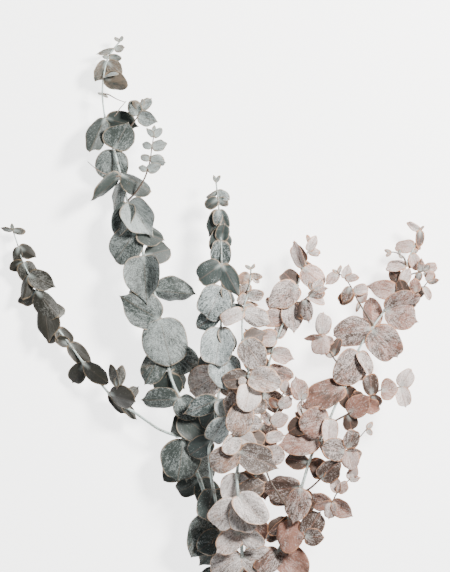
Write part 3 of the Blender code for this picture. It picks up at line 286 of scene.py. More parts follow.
# Side shoots: the stem and the height y that they spring from, their route, and rows of the
# part of the way along the twig with the leaves there.
SHOOTS = {
    "tall_left_upper_shoot": (
        "tall_left", 508, numbers("-116 511 27, -106 513 31, -98 522 34, -93 533 35"),
        table("""
            .78, 112 17 15 10 0 8 .5, -18 18 17 12 0 6 .72
            .95, 45 14 11 12 0 5 .7, 135 11 8 10 0 5 .45
            1.0, 80 8 5 16 0 0 .6
        """),
    ),
    "tall_left_pale_shoot": (
        "tall_left", 439, numbers("-98 449 34, -90 462 38, -85 478 38, -83 492 36, -81 505 33"),
        table("""
            .5, 20 14 11 12 0 6 .8, 160 9 7 8 0 0 .6
            .66, -15 15 13 12 0 6 .85, 168 10 8 8 0 5 .7
            .82, 15 15 12 12 0 6 .9, 160 10 8 8 0 5 .8
            .97, 45 12 8 12 0 5 .9, 128 10 7 10 0 5 .9
            1.0, 88 9 5 14 0 0 .9
        """),
    ),
    "low_left_shoot": (
        "low_left", 239, numbers("-118 246 27, -118 254 30"),
        table("""
            .95, 113 23 13 12 20 -8 .4, 78 22 12 10 -20 -8 .42
            1.0, 95 9 5 14 0 0 .5
        """),
    ),
    "inner_shoot": (
        "far_right", 261, numbers("105 273 49, 97 284 52, 91 296 53, 85 307 52"),
        table("""
            .5, 72 20 15 -8 20 5 .1, 150 9 7 8 0 0 .6
            .98, 84 21 19 10 0 6 .85, 268 21 21 12 0 -6 .7
            .9, 184 18 11 10 50 0 .5, -25 12 9 -5 0 0 .6
        """),
    ),
    "far_right_left_shoot": (
        "far_right", 314, numbers("128 330 42, 121 342 45, 116 352 46, 110 361 45, 103 367 43"),
        table("""
            .42, 62 14 12 10 0 6 .75, 262 10 5 8 30 0 .3
            .62, 12 15 12 12 0 6 .72, 222 18 15 8 0 8 .12
            .7, 250 17 12 14 0 6 .35
            .86, 6 14 9 12 0 5 .65, 76 13 11 12 0 6 .92
            1.0, 222 15 12 12 0 6 .85, 152 7 4 12 0 0 .4, 72 8 5 12 0 0 .5
        """),
    ),
    "far_right_bud_twig": (
        "far_right", 374, numbers("169 382 30, 162 387 32, 156 388 32"),
        table("""
            .6, 76 6 4 14 0 0 .3, -50 5 3 10 0 0 .3
            1.0, 165 7 4 12 0 0 .4, 220 7 4 10 0 0 .3
        """),
    ),
    "far_right_upper_cluster": (
        "far_right", 363, numbers("177 366 31, 184 368 33, 190 369 33"),
        table("""
            .75, 84 12 9 10 0 5 .5, -112 11 8 8 0 5 .3
            .95, 26 14 12 12 0 6 .72, -32 13 10 8 0 6 .45
            1.0, 120 9 7 14 0 5 .6, 60 8 6 14 0 0 .6
        """),
    ),
    "far_right_lower_cluster": (
        "far_right", 338, numbers("167 340 37, 178 345 39, 187 352 39, 192 358 38"),
        table("""
            .35, 112 20 14 -5 0 6 .12, -60 14 12 -8 0 5 .3
            .62, 100 14 12 8 0 6 .5, 232 17 13 12 0 6 .8
            .85, -62 15 9 10 20 6 .8, -108 12 9 -5 0 5 .12
            1.0, 66 12 9 12 0 6 .8, 10 11 7 10 0 5 .4
        """),
    ),
    "right_shoot": (
        "far_right", 215, numbers("103 222 50, 117 230 53, 130 241 54, 145 251 54, 158 253 52, 166 254 50"),
        table("""
            .27, 40 25 23 12 0 -6 .4, -80 18 16 -8 0 6 .2
            .48, -20 18 17 10 0 6 .35, 130 14 12 -8 0 6 .3
            .62, 96 22 17 10 0 6 .35, -60 14 12 -8 0 6 .3
            .74, 2 16 24 12 20 6 .6
            .98, 58 20 17 10 0 6 .95, -76 20 17 10 0 6 .92
        """),
    ),
    "right_low_shoot": (
        "far_right", 146, numbers("76 154 48, 88 166 52, 102 181 54, 115 195 54, 123 203 52, 131 212 49"),
        table("""
            .27, 44 26 24 12 0 -6 .38, 100 21 18 -6 0 6 .1
            .66, 164 25 24 12 0 6 .5, -14 17 15 8 0 6 .5
            .7, 72 21 17 10 0 -6 .4, -78 20 20 14 0 6 .7
            1.0, 50 9 6 12 0 0 .85, -50 8 6 8 0 0 .7
        """),
    ),
    "right_bottom_shoot": (
        "far_right", 137, numbers("74 134 47, 88 133 51, 96 139 52, 101 148 52, 109 157 50, 116 164 48"),
        table("""
            .52, 158 20 14 10 25 12 .45, 196 18 13 8 30 6 .4
            .55, -36 23 20 12 0 6 .52, -100 17 14 8 0 6 .75
            .7, 104 15 13 8 0 6 .75, 50 14 12 10 0 6 .7
            .95, 70 13 10 10 0 5 .8, 10 10 8 8 0 5 .7
            1.0, 66 12 10 14 0 5 .9
        """),
    ),
    "right_lower_twig": (
        "far_right", 92, numbers("52 93 40, 61 98 44, 70 106 46"),
        table("""
            .97, -4 19 20 10 0 -6 .4, 62 28 25 14 0 -6 .36
            1.0, 120 8 6 8 0 0 .5
        """),
    ),
    "centre_right_shoot": (
        "far_right", 127,
        numbers("45 144 47, 33 165 50, 28 190 52, 33 210 52, 40 226 52, 46 242 50, 49 252 48"),
        table("""
            .48, 2 21 22 12 0 6 .62, 88 17 15 -5 0 6 .15
            .6, 12 18 14 12 0 6 .82, 165 14 12 -8 0 5 .4
            .72, 30 18 16 12 0 6 .86, 124 16 12 6 0 6 .5
            .86, 30 15 13 12 0 6 .78, 140 12 10 -5 0 5 .2
            .97, 75 13 10 10 0 6 .8, 8 12 9 8 0 6 .85
            1.0, 130 11 8 12 0 5 .8, 100 8 5 16 0 0 .8
        """),
    ),
    "inner_right_shoot": (
        "far_right", 208, numbers("78 213 49, 70 220 52, 66 231 53, 66 242 52"),
        table("""
            .45, 212 20 20 -6 0 6 .12, 60 12 10 -6 0 5 .3
            .55, 96 25 24 14 0 6 .72, 150 10 8 6 0 0 .5
            .98, 104 22 19 10 0 -5 .5, 50 10 6 8 0 0 .7
            1.0, 140 9 6 10 0 0 .7
        """),
    ),
    "mid_right_shoot": (
        "mid_right", 338, numbers("65 338 47, 72 343 50, 78 350 50"),
        table("""
            .5, 262 20 16 8 0 6 .1, -80 21 17 12 0 6 .4
            .7, -22 18 11 12 15 8 .85, 12 17 11 8 20 8 .45
            1.0, 48 14 11 12 0 6 .72, 6 13 9 10 0 6 .65, 120 9 7 8 0 0 .3
        """),
    ),
}

# Thin side twigs of the tall left stem that have lost their leaves, from its middle outwards.
BARE_TWIGS = (
    numbers("-114 464 30, -124 464 33, -136 469 36, -147 478 38"),
    numbers("-133 547 20, -127 546 22, -118 541 25, -110 538 26"),
    numbers("-130 522 22, -121 524 25, -115 532 27, -109 539 26"),
)

# How each stem's leaves look: bloom, skin, flush, rim and underside, and how much flush there is.
LOOKS = {
    "tall_left": ("grey green", "#a0a8a6", "#333a37", "#5e5347", "#94836f", "#465050", 0.15),
    "low_left": ("dark olive", "#858580", "#26251f", "#3d352c", "#75644f", "#31312b", 0.2),
    "mid_left": ("pale grey", "#c3cccc", "#353e3c", "#66574f", "#9a8672", "#4a5351", 0.25),
    "centre": ("beige grey", "#dfd7d3", "#574d47", "#90705f", "#c09472", "#645c57", 0.45),
    "mid_right": ("pinkish", "#e0d4cf", "#463a34", "#936758", "#c58f68", "#5a4c46", 0.65),
    "far_right": ("rose brown", "#dacdc8", "#43362f", "#855e50", "#b3805e", "#54463f", 0.8),
}
# Lower leaves that take the paler beige grey finish of the stem beside theirs: partly their own
# # browner colour, and partly painted light that offsets the shadow the leaves above cast on them.
TURNED_AND_PAINTED_LIGHTER = {"mid_left_leaf_pair_06": "centre"}
PALE_FOOT = "#b4bfbb"


# ---- Routes and leaves, by the rules that the solids follow ----


def smooth_route(points, spacing):
    """A Catmull-Rom curve through the points, resampled at even steps of about the spacing."""
    points = np.array(points, float)
    ends = np.vstack([2 * points[0] - points[1], points, 2 * points[-1] - points[-2]])
    t = np.linspace(0, 1, 12, endpoint=False)[:, None]
    pieces = []
    for a, b, c, d in zip(ends, ends[1:], ends[2:], ends[3:]):
        cubic = (2 * a - 5 * b + 4 * c - d) * t**2 + (3 * b - a - 3 * c + d) * t**3
        pieces.append(0.5 * (2 * b + (c - a) * t + cubic))
    dense = np.vstack(pieces + [points[-1:]])
    along = way_along(dense)
    even = np.linspace(0, along[-1], max(2, round(along[-1] / spacing)) + 1)
    return np.column_stack([np.interp(even, along, dense[:, axis]) for axis in range(3)])


def way_along(route):
    """The distance from a route's first point to each of its points, along it."""
    return np.concatenate([[0], np.cumsum(np.linalg.norm(np.diff(route, axis=0), axis=1))])


def place_on(route, radii, y=None, part=None):
    """The point, direction and radius of a stem at a height y, or at a part of its way."""
    count = len(route) - 1
    if part is None:
        part = np.interp(y, route[:, 1], np.linspace(0, 1, count + 1))
    index = part * count
    point = np.array([np.interp(index, range(count + 1), route[:, axis]) for axis in range(3)])
    low = min(int(index), count - 1)
    along = route[low + 1] - route[low]
    return point, along / np.linalg.norm(along), radii[0] + (radii[1] - radii[0]) * part


def blade_shape(leaf, key, turn, across):
    """A leaf's surface over (turn, across), x across, y along its midrib, z to its upper side.

    turn runs from 0 at the base to pi at the tip and across from -1 to 1, so that the outline
    is a circle stretched to length and width.  Each half rises at the fold angle plus an even
    curl, the midrib bends down along an arc, and the rim has a slow wave.
    """
    _, length, width, _, _, fold, _ = leaf
    draw = np.random.default_rng(key)
    curl = draw.uniform(-0.5, 1.1) * 30 / max(width, 12)
    bend = math.radians(draw.uniform(6, 34)) / length
    wave, phase = draw.uniform(0.01, 0.035) * width, draw.uniform(0, 6.3)
    lobes, point = draw.uniform(0.05, 0.16), draw.uniform(0.0, 0.07)
    along = (1 - np.cos(turn)) / 2
    x = width / 2 * np.sin(turn) * across
    y = length * (along - lobes * across**2 * np.sin(turn) * (1 - along) ** 2)
    y = y + length * point * (1 - np.abs(across)) * along**8
    angle = math.radians(fold) + math.radians(curl) * np.abs(x)
    slope = math.radians(curl) if abs(curl) > 0.05 else math.radians(0.05)
    start = angle - slope * np.abs(x)
    side = np.sign(x) * (np.sin(start + slope * np.abs(x)) - np.sin(start)) / slope
    rise = (np.cos(start) - np.cos(start + slope * np.abs(x))) / slope
    rise = rise + wave * across**2 * np.sin(turn) * np.sin(3 * turn + phase + across)
    forward = np.sin(bend * y) / bend + rise * np.sin(bend * y)
    up = rise * np.cos(bend * y) - (1 - np.cos(bend * y)) / bend
    return np.stack([side, forward, up], axis=-1)


def leaf_frame(heading, lift, roll):
    """Columns across, along and up of a leaf with this heading, lift and roll."""
    heading, lift, roll = (math.radians(value) for value in (heading, lift, roll))
    level = np.array([math.cos(heading), math.sin(heading), 0])
    along = math.cos(lift) * level + math.sin(lift) * np.array([0, 0, 1])
    flat = np.array([math.sin(heading), -math.cos(heading), 0])
    across = math.cos(roll) * flat + math.sin(roll) * np.cross(flat, along)
    return np.column_stack([across, along, np.cross(across, along)])


def laid_blade(shape, base, leaf, change):
    """The leaf's surface in the bunch, flattened where it meets the floor."""
    lift, roll, heading = change
    turned = shape @ leaf_frame(leaf[0] + heading, leaf[3] + lift, leaf[4] + roll).T + base
    turned[..., 2] = np.maximum(turned[..., 2], BLADE / 2)
    return turned


def leaf_base(point, along, radius, leaf, clasping):
    """Where a leaf starts: in its collar above or below the stem, or inside the wood."""
    heading = math.radians(leaf[0])
    side = np.array([math.cos(heading), math.sin(heading), 0])
    side = side - along * side.dot(along)
    face = 1 if leaf[3] >= 0 else -1
    radial = 0.45 * side + face * np.array([0, 0, 1.0])
    radial = radial - along * radial.dot(along)
    offset = radius + GAP + COLLAR_WALL * 0.6 if clasping else radius * 0.6
    return point + radial / np.linalg.norm(radial) * offset


def node_points(node):
    """The corners of a node's solid, in millimetres of the frame."""
    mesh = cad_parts[node].data
    points = np.empty(len(mesh.vertices) * 3, np.float32)
    mesh.vertices.foreach_get("co", points)
    return points.reshape(-1, 3).astype(float) / MM


def plan_shift():
    """How far the frame's bunch is moved from the plan, from the cut end of one stem.

    The lowest points along y of that stem's solid are its end ring, whose middle is the first
    point of the stem's route.
    """
    points = np.unique(node_points("tall_left_stem").round(4), axis=0)
    ring = points[points[:, 1] < points[:, 1].min() + 4]
    return ring.mean(axis=0) - STEMS["tall_left"][1]


def corners_of(node):
    """A search tree of the corners of a node's solid, in the plan."""
    points = node_points(node) - SHIFT
    tree = KDTree(len(points))
    for index, point in enumerate(points):
        tree.insert(point, index)
    tree.balance()
    return tree


def settled(tree, leaf, key, base):
    """The size and change with which the solid's leaf was laid to clear its neighbours.

    The leaf's tip and the two corners of its rim beside the tip are worked out for each size
    and change; the right one puts at least two of the three on corners of the solid.
    """
    rows = 4 if leaf[1] >= LONG_LEAF else 3
    turn = math.pi * np.array([[rows - 1], [rows]]) / rows
    corners = blade_shape(leaf, key, turn, np.array([[-1.0, 1.0]])).reshape(4, 3)[:3]
    for size, change in itertools.product(SIZES, CHANGES):
        found = laid_blade(corners * size, base, leaf, change)
        if sorted(tree.find(point)[2] for point in found)[1] < FOUND:
            return size, change
    return None


# ---- Surfaces ----


def skin_faces(rings, around):
    """Corners of a closed skin of rings with a point at each end: quads, then two fans."""
    ring = np.arange(rings - 1)[:, None] * around + 1
    side = np.arange(around)[None, :]
    beside = (side + 1) % around
    after = ring + around
    quads = np.stack([ring + side, ring + beside, after + beside, after + side], axis=-1)
    last = (rings - 1) * around + 1
    foot = np.stack([np.zeros_like(side[0]), beside[0] + 1, side[0] + 1], axis=-1)
    head = np.stack([last + side[0], last + beside[0], np.full_like(side[0], rings * around + 1)], axis=-1)
    return quads.reshape(-1, 4), np.concatenate([foot, head])


def wrapped_faces(rings, around):
    """Corners of a skin that closes on itself both ways, like a tyre's."""
    ring = np.arange(rings)[:, None]
    side = np.arange(around)[None, :]
    after, beside = (ring + 1) % rings, (side + 1) % around
    corners = (ring * around + side, ring * around + beside, after * around + beside, after * around + side)
    return np.stack(corners, axis=-1).reshape(-1, 4), np.zeros((0, 3), int)


def facing_out(points, quads, fans):
    """The same faces, turned round if the volume that they close would be negative."""
    volume = 0
    for corners in (quads[:, [0, 1, 2]], quads[:, [0, 2, 3]], fans):
        a, b, c = (points[corners[:, index]] for index in range(3))
        volume += (a * np.cross(b, c)).sum()
    return (quads[:, ::-1], fans[:, ::-1]) if volume < 0 else (quads, fans)


class Skins:
    """Closed skins gathered for one piece, with two triples of numbers for each point."""

    def __init__(self):
        self.points, self.faces, self.marks, self.traits, self.finishes = [], [], [], [], []
        self.count = 0

    def add(self, points, faces, marks, traits, finish=0):
        """marks and traits are the triples that a finish reads; finish is its place in the list."""
        quads, fans = facing_out(points, *faces)
        self.faces += (quads + self.count).tolist() + (fans + self.count).tolist()
        self.finishes += [finish] * (len(quads) + len(fans))
        self.points.append(points)
        self.marks.append(marks)
        self.traits.append(traits)
        self.count += len(points)

    def make(self, name, finishes, node, slot):
        """Puts the skins into one mesh, moved from the plan to the frame, in place of the node."""
        mesh = bpy.data.meshes.new(name)
        points = (np.vstack(self.points) + SHIFT) * MM
        mesh.from_pydata(points.astype(np.float32), [], self.faces)
        for material in finishes:
            mesh.materials.append(material)
        mesh.polygons.foreach_set("material_index", self.finishes)
        for label, values in (("mark", self.marks), ("trait", self.traits)):
            attribute = mesh.attributes.new(label, "FLOAT_VECTOR", "POINT")
            attribute.data.foreach_set("vector", np.vstack(values).astype(np.float32).ravel())
        mesh.shade_smooth()
        mesh.update()
        piece = bpy.data.objects.new(name, mesh)
        bpy.context.scene.collection.objects.link(piece)
        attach(piece, "root")
        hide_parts(node)


def unit(vectors):
    """The vectors at a length of one."""
    return vectors / np.maximum(np.linalg.norm(vectors, axis=-1, keepdims=True), 1e-9)


def surface_normals(surface):
    """Unit normals of a blade's grid; a pole takes the mean of the row beside it."""
    normal = np.cross(np.gradient(surface, axis=1), np.gradient(surface, axis=0))
    normal[0] = normal[1].mean(axis=0)
    normal[-1] = normal[-2].mean(axis=0)
    return unit(normal)


def withered(shape, turn, across, folded, draw):
    """The blade as it has dried: each step of the grid, outwards from the midrib, is turned.

    One half folds by an even angle about the midrib, and the rims roll by an angle that grows
    from the middle of each half outwards.  The outline is then stretched by a slow wave round
    the leaf, which gives it blunt corners, and widened or narrowed towards the tip.
    """
    middle = across.shape[1] // 2
    between = (across[0, 1:] + across[0, :-1]) / 2
    fold = (draw.random() < ONE_HALF_FOLDED) * math.radians(draw.uniform(*FOLD)) * draw.choice([-1, 1])
    fold = 0 if abs(folded) > FOLDED_ALREADY else fold
    side = draw.choice([-1, 1])
    roll = math.radians(draw.uniform(*(ROLL if draw.random() < ROLLED else CURL)))
    tilt = fold * (between * side > 0) * np.clip(np.abs(between) / 0.3, 0, 1)
    tilt = tilt + roll * np.clip((np.abs(between) - 0.45) / 0.55, 0, 1) ** 1.5 * (between * side < 0.2)
    tilt = tilt * np.sign(between) * np.sin(turn) ** 0.5
    steps = np.diff(shape, axis=1)
    turned = np.stack(
        [
            steps[..., 0] * np.cos(tilt) - steps[..., 2] * np.sin(tilt),
            steps[..., 1],
            steps[..., 0] * np.sin(tilt) + steps[..., 2] * np.cos(tilt),
        ],
        axis=-1,
    )
    right = np.cumsum(turned[:, middle:], axis=1)
    left = -np.cumsum(turned[:, middle - 1 :: -1], axis=1)[:, ::-1]
    rib = shape[:, middle : middle + 1]
    shape = np.concatenate([rib + left, rib, rib + right], axis=1)
    along = (1 - np.cos(turn)) / 2
    corners, fan = draw.integers(3, 6), draw.uniform(*FAN)
    around = np.arctan2(across * np.sin(turn), -np.cos(turn))
    wave = draw.uniform(*BLUNT_CORNERS) * np.cos(corners * around + draw.uniform(0, 6.3)) * along**0.5
    shape[..., 0] *= 1 + wave + fan * (along - 0.5)
    shape[..., 1] *= 1 + wave * along
    point = draw.uniform(*POINT) * (draw.random() < POINTED)
    shape[..., 1] *= 1 + point * (1 - np.abs(across)) ** 1.5 * along**5
    return shape


def leaf_skin(skins, leaf, key, base, size=1, change=(0, 0, 0)):
    """A dried leaf as a closed skin over (turn, across).

    The blade's surface is pushed along its normal by a groove over the midrib, low ridges
    over side veins that leave it at an angle, a slow pucker and a ripple that grows to the
    rim with the fourth power of across.  Its two sides lie half the leaf's thickness apart at
    the midrib and meet at the rim on a curve that is blunt, as a cut edge of card is.
    """
    length, width, shade = leaf[1] * size, leaf[2] * size, leaf[6]
    rows, columns = LEAF_GRID[sum(length >= limit for limit in GRID_FROM)]
    draw = np.random.default_rng(key + 5000)
    turn = math.pi * np.linspace(0, 1, rows + 1)[:, None]
    across = np.sin(math.pi / 2 * np.linspace(-1, 1, columns + 1))[None, :]
    x = width / 2 * np.sin(turn) * across
    y = length * (1 - np.cos(turn)) / 2 + 0 * across
    ripple = draw.uniform(0.006, 0.018) * width * np.sin(draw.uniform(5, 9) * turn + draw.uniform(0, 6))
    pucker = 0.012 * width * np.sin(x / width * draw.uniform(4, 8) + draw.uniform(0, 6))
    pucker = pucker * np.sin(y / length * draw.uniform(4, 9) + draw.uniform(0, 6)) * np.sin(turn)
    vein = np.cos(2 * math.pi * (y - VEIN_SLANT * np.abs(x)) / VEIN_SPACING) * 0.07 * np.sin(turn)
    groove = -0.28 * np.exp(-((x / 0.9) ** 2)) * (1 - y / length)
    relief = ripple * across**4 * np.sin(turn) + pucker + vein + groove
    shape = withered(blade_shape(leaf, key, turn, across) * size, turn, across, leaf[5], draw)
    surface = laid_blade(shape, base, leaf, change)
    normal = surface_normals(surface)
    surface = surface + normal * relief[..., None]
    surface[..., 2] = np.maximum(surface[..., 2], SKIN / 2)
    half = SKIN / 2 * np.sqrt(1 - across[..., None] ** 8) * np.minimum(1, 3 * np.sin(turn))[..., None]
    inside = np.sqrt((across * np.sin(turn)) ** 2 + np.cos(turn) ** 2)
    rim = (1 - inside) * min(length, width) / 2
    marks = np.stack([x, y, rim], axis=-1)
    flush = draw.uniform(0, 1) + (BROWNED if base[1] > BROWNED_FROM else 0)
    upper, lower = (np.broadcast_to([shade, flush, below], marks.shape) for below in (0, 1))

    def ringed(top, bottom):
        body = np.concatenate([top[1:-1], bottom[1:-1, -2:0:-1]], axis=1).reshape(-1, 3)
        return np.vstack([top[0, :1], body, top[-1, :1]])

    points = ringed(surface + half * normal, surface - half * normal)
    skins.add(points, skin_faces(rows - 1, 2 * columns), ringed(marks, marks), ringed(upper, lower))


def tube_skin(skins, route, radius, marks_of):
    """A closed tube over (way along, turn round): the route plus radius times the ring's direction.

    radius holds a row of numbers for each point of the route, one for each turn.  marks_of
    gives the rows of marks and traits for (route's points, turns).
    """
    along = unit(np.gradient(route, axis=0))
    side = unit(np.cross(along, [0, 0, 1.0]))
    up = np.cross(side, along)
    around = radius.shape[1]
    turn = 2 * math.pi * np.arange(around)[None, :] / around + np.zeros((len(route), 1))
    out = np.cos(turn)[..., None] * side[:, None] + np.sin(turn)[..., None] * up[:, None]
    rings = route[:, None] + out * radius[..., None]
    marks, traits = marks_of(turn)
    ended = [
        np.vstack([first, rows.reshape(-1, 3), last])
        for rows, first, last in (
            (rings, route[:1], route[-1:]),
            (marks, marks[0, :1], marks[-1, :1]),
            (traits, traits[0, :1], traits[-1, :1]),
        )
    ]
    skins.add(ended[0], skin_faces(len(route), around), *ended[1:])


def wood_skin(skins, route, radii, stations, twig, key):
    """A stem or twig over (way along, turn round).

    The radius tapers evenly, swells by a bell curve at each leaf node, and carries shallow
    ridges along the wood that drift round it; the cut end is flat with a rubbed edge.
    """
    way = way_along(route)
    radius = radii[0] + (radii[1] - radii[0]) * way / way[-1]
    near = np.zeros(len(route))
    for station in stations:
        away = np.linalg.norm(route - station, axis=1)
        near = np.maximum(near, np.exp(-((away / (1.3 * radii[0] + 0.8)) ** 2)))
    draw = np.random.default_rng(key)
    around = 14 if radii[0] > 1.3 else 10
    turn = 2 * math.pi * np.arange(around)[None, :] / around
    ridge = np.sin(3 * turn + way[:, None] / draw.uniform(40, 70) + draw.uniform(0, 6))
    knobs = np.sin(way / draw.uniform(2.2, 3.4) + draw.uniform(0, 6))
    body = radius[:, None] * (1 + 0.22 * near[:, None] + 0.035 * ridge + 0.03 * knobs[:, None])
    step = unit(route[1] - route[0])
    ends = np.array([0.0, 0.01, 0.2])[:, None]
    rings = np.vstack([route[0] + ends * step, route[1:], route[-1:] + 0.3 * unit(route[-1] - route[-2])])
    sizes = np.vstack([body[:1] * 0.45, body[:1] * 0.92, body, body[-1:] * 0.4])
    place, near = (np.concatenate([row[:1], row[:1], row, row[-1:]]) for row in (way, near))
    cut = np.concatenate([[1, 1, 0.3], np.zeros(len(route))])

    def marks_of(turn):
        level = np.zeros_like(turn)
        marks = np.stack([np.cos(turn) * sizes, np.sin(turn) * sizes, place[:, None] + level], axis=-1)
        return marks, np.stack([near[:, None] + level, cut[:, None] + level, twig + level], axis=-1)

    tube_skin(skins, rings, sizes, marks_of)


def collar_skin(skins, point, along, radius):
    """The swollen joint that two clasping leaves grow from: an oval section carried round the stem."""
    rings, around = 16, 10
    side = unit(np.cross(along, [0, 0, 1.0]))
    up = np.cross(side, along)
    turn = 2 * math.pi * np.arange(rings)[:, None] / rings
    section = 2 * math.pi * np.arange(around)[None, :] / around
    out = np.cos(turn)[..., None] * side + np.sin(turn)[..., None] * up
    reach = radius + 0.45 + 0.75 * np.cos(section)
    points = point + out * reach[..., None] + along * (1.7 * np.sin(section))[..., None]
    full = np.broadcast_to(turn, (rings, around))
    marks = [np.cos(full) * radius, np.sin(full) * radius, 2 * np.sin(section) + 0 * full]
    marks = np.stack(marks, axis=-1)
    traits = np.broadcast_to([0.8, 0, 0], marks.shape)
    points, marks, traits = (rows.reshape(-1, 3) for rows in (points, marks, traits))
    skins.add(points, wrapped_faces(rings, around), marks, traits, finish=1)


def strand_skin(skins, route):
    """Twine over (way along, turn round): three plies as a lobed section that turns along the route."""
    radius = TWINE / 2
    way = way_along(route)
    place = np.linspace(0, way[-1], max(8, round(way[-1] / 0.45)) + 1)
    fine = np.column_stack([np.interp(place, way, route[:, axis]) for axis in range(3)])
    turn = 2 * math.pi * np.arange(15)[None, :] / 15
    twist = turn * 3 - 2 * math.pi * place[:, None] / PLY_TURN
    ends = np.minimum(1, 0.35 + np.minimum(place, place[-1] - place) / radius)
    sizes = radius * (0.86 + 0.14 * np.cos(twist)) * ends[:, None]

    def marks_of(turn):
        level = np.zeros_like(turn)
        marks = np.stack([twist, turn, place[:, None] + level], axis=-1)
        return marks, np.stack([np.cos(twist), level, level], axis=-1)

    tube_skin(skins, fine, sizes, marks_of)


# ---- Finishes ----


FACTOR, FIRST, SECOND, MIXED = 0, 6, 7, 2  # sockets of a Mix node that mixes colours


def linear(colour):
    """An sRGB hex colour as the linear red, green, blue and alpha that a shader takes."""
    parts = (int(colour[index : index + 2], 16) / 255 for index in (1, 3, 5))
    return (*(part / 12.92 if part <= 0.04045 else ((part + 0.055) / 1.055) ** 2.4 for part in parts), 1)


def add(tree, kind, inputs, **settings):
    """Adds a node with its settings and gives each input a value or a link; returns its outputs."""
    node = tree.nodes.new("ShaderNode" + kind)
    for name, value in settings.items():
        setattr(node, name, value)
    for name, value in inputs.items():
        if isinstance(value, bpy.types.NodeSocket):
            tree.links.new(value, node.inputs[name])
        else:
            node.inputs[name].default_value = value
    return node.outputs


def new_finish(name):
    """A material with its node tree and its Principled shader."""
    material = bpy.data.materials.new(name)
    material.use_nodes = True
    return material, material.node_tree, material.node_tree.nodes["Principled BSDF"]


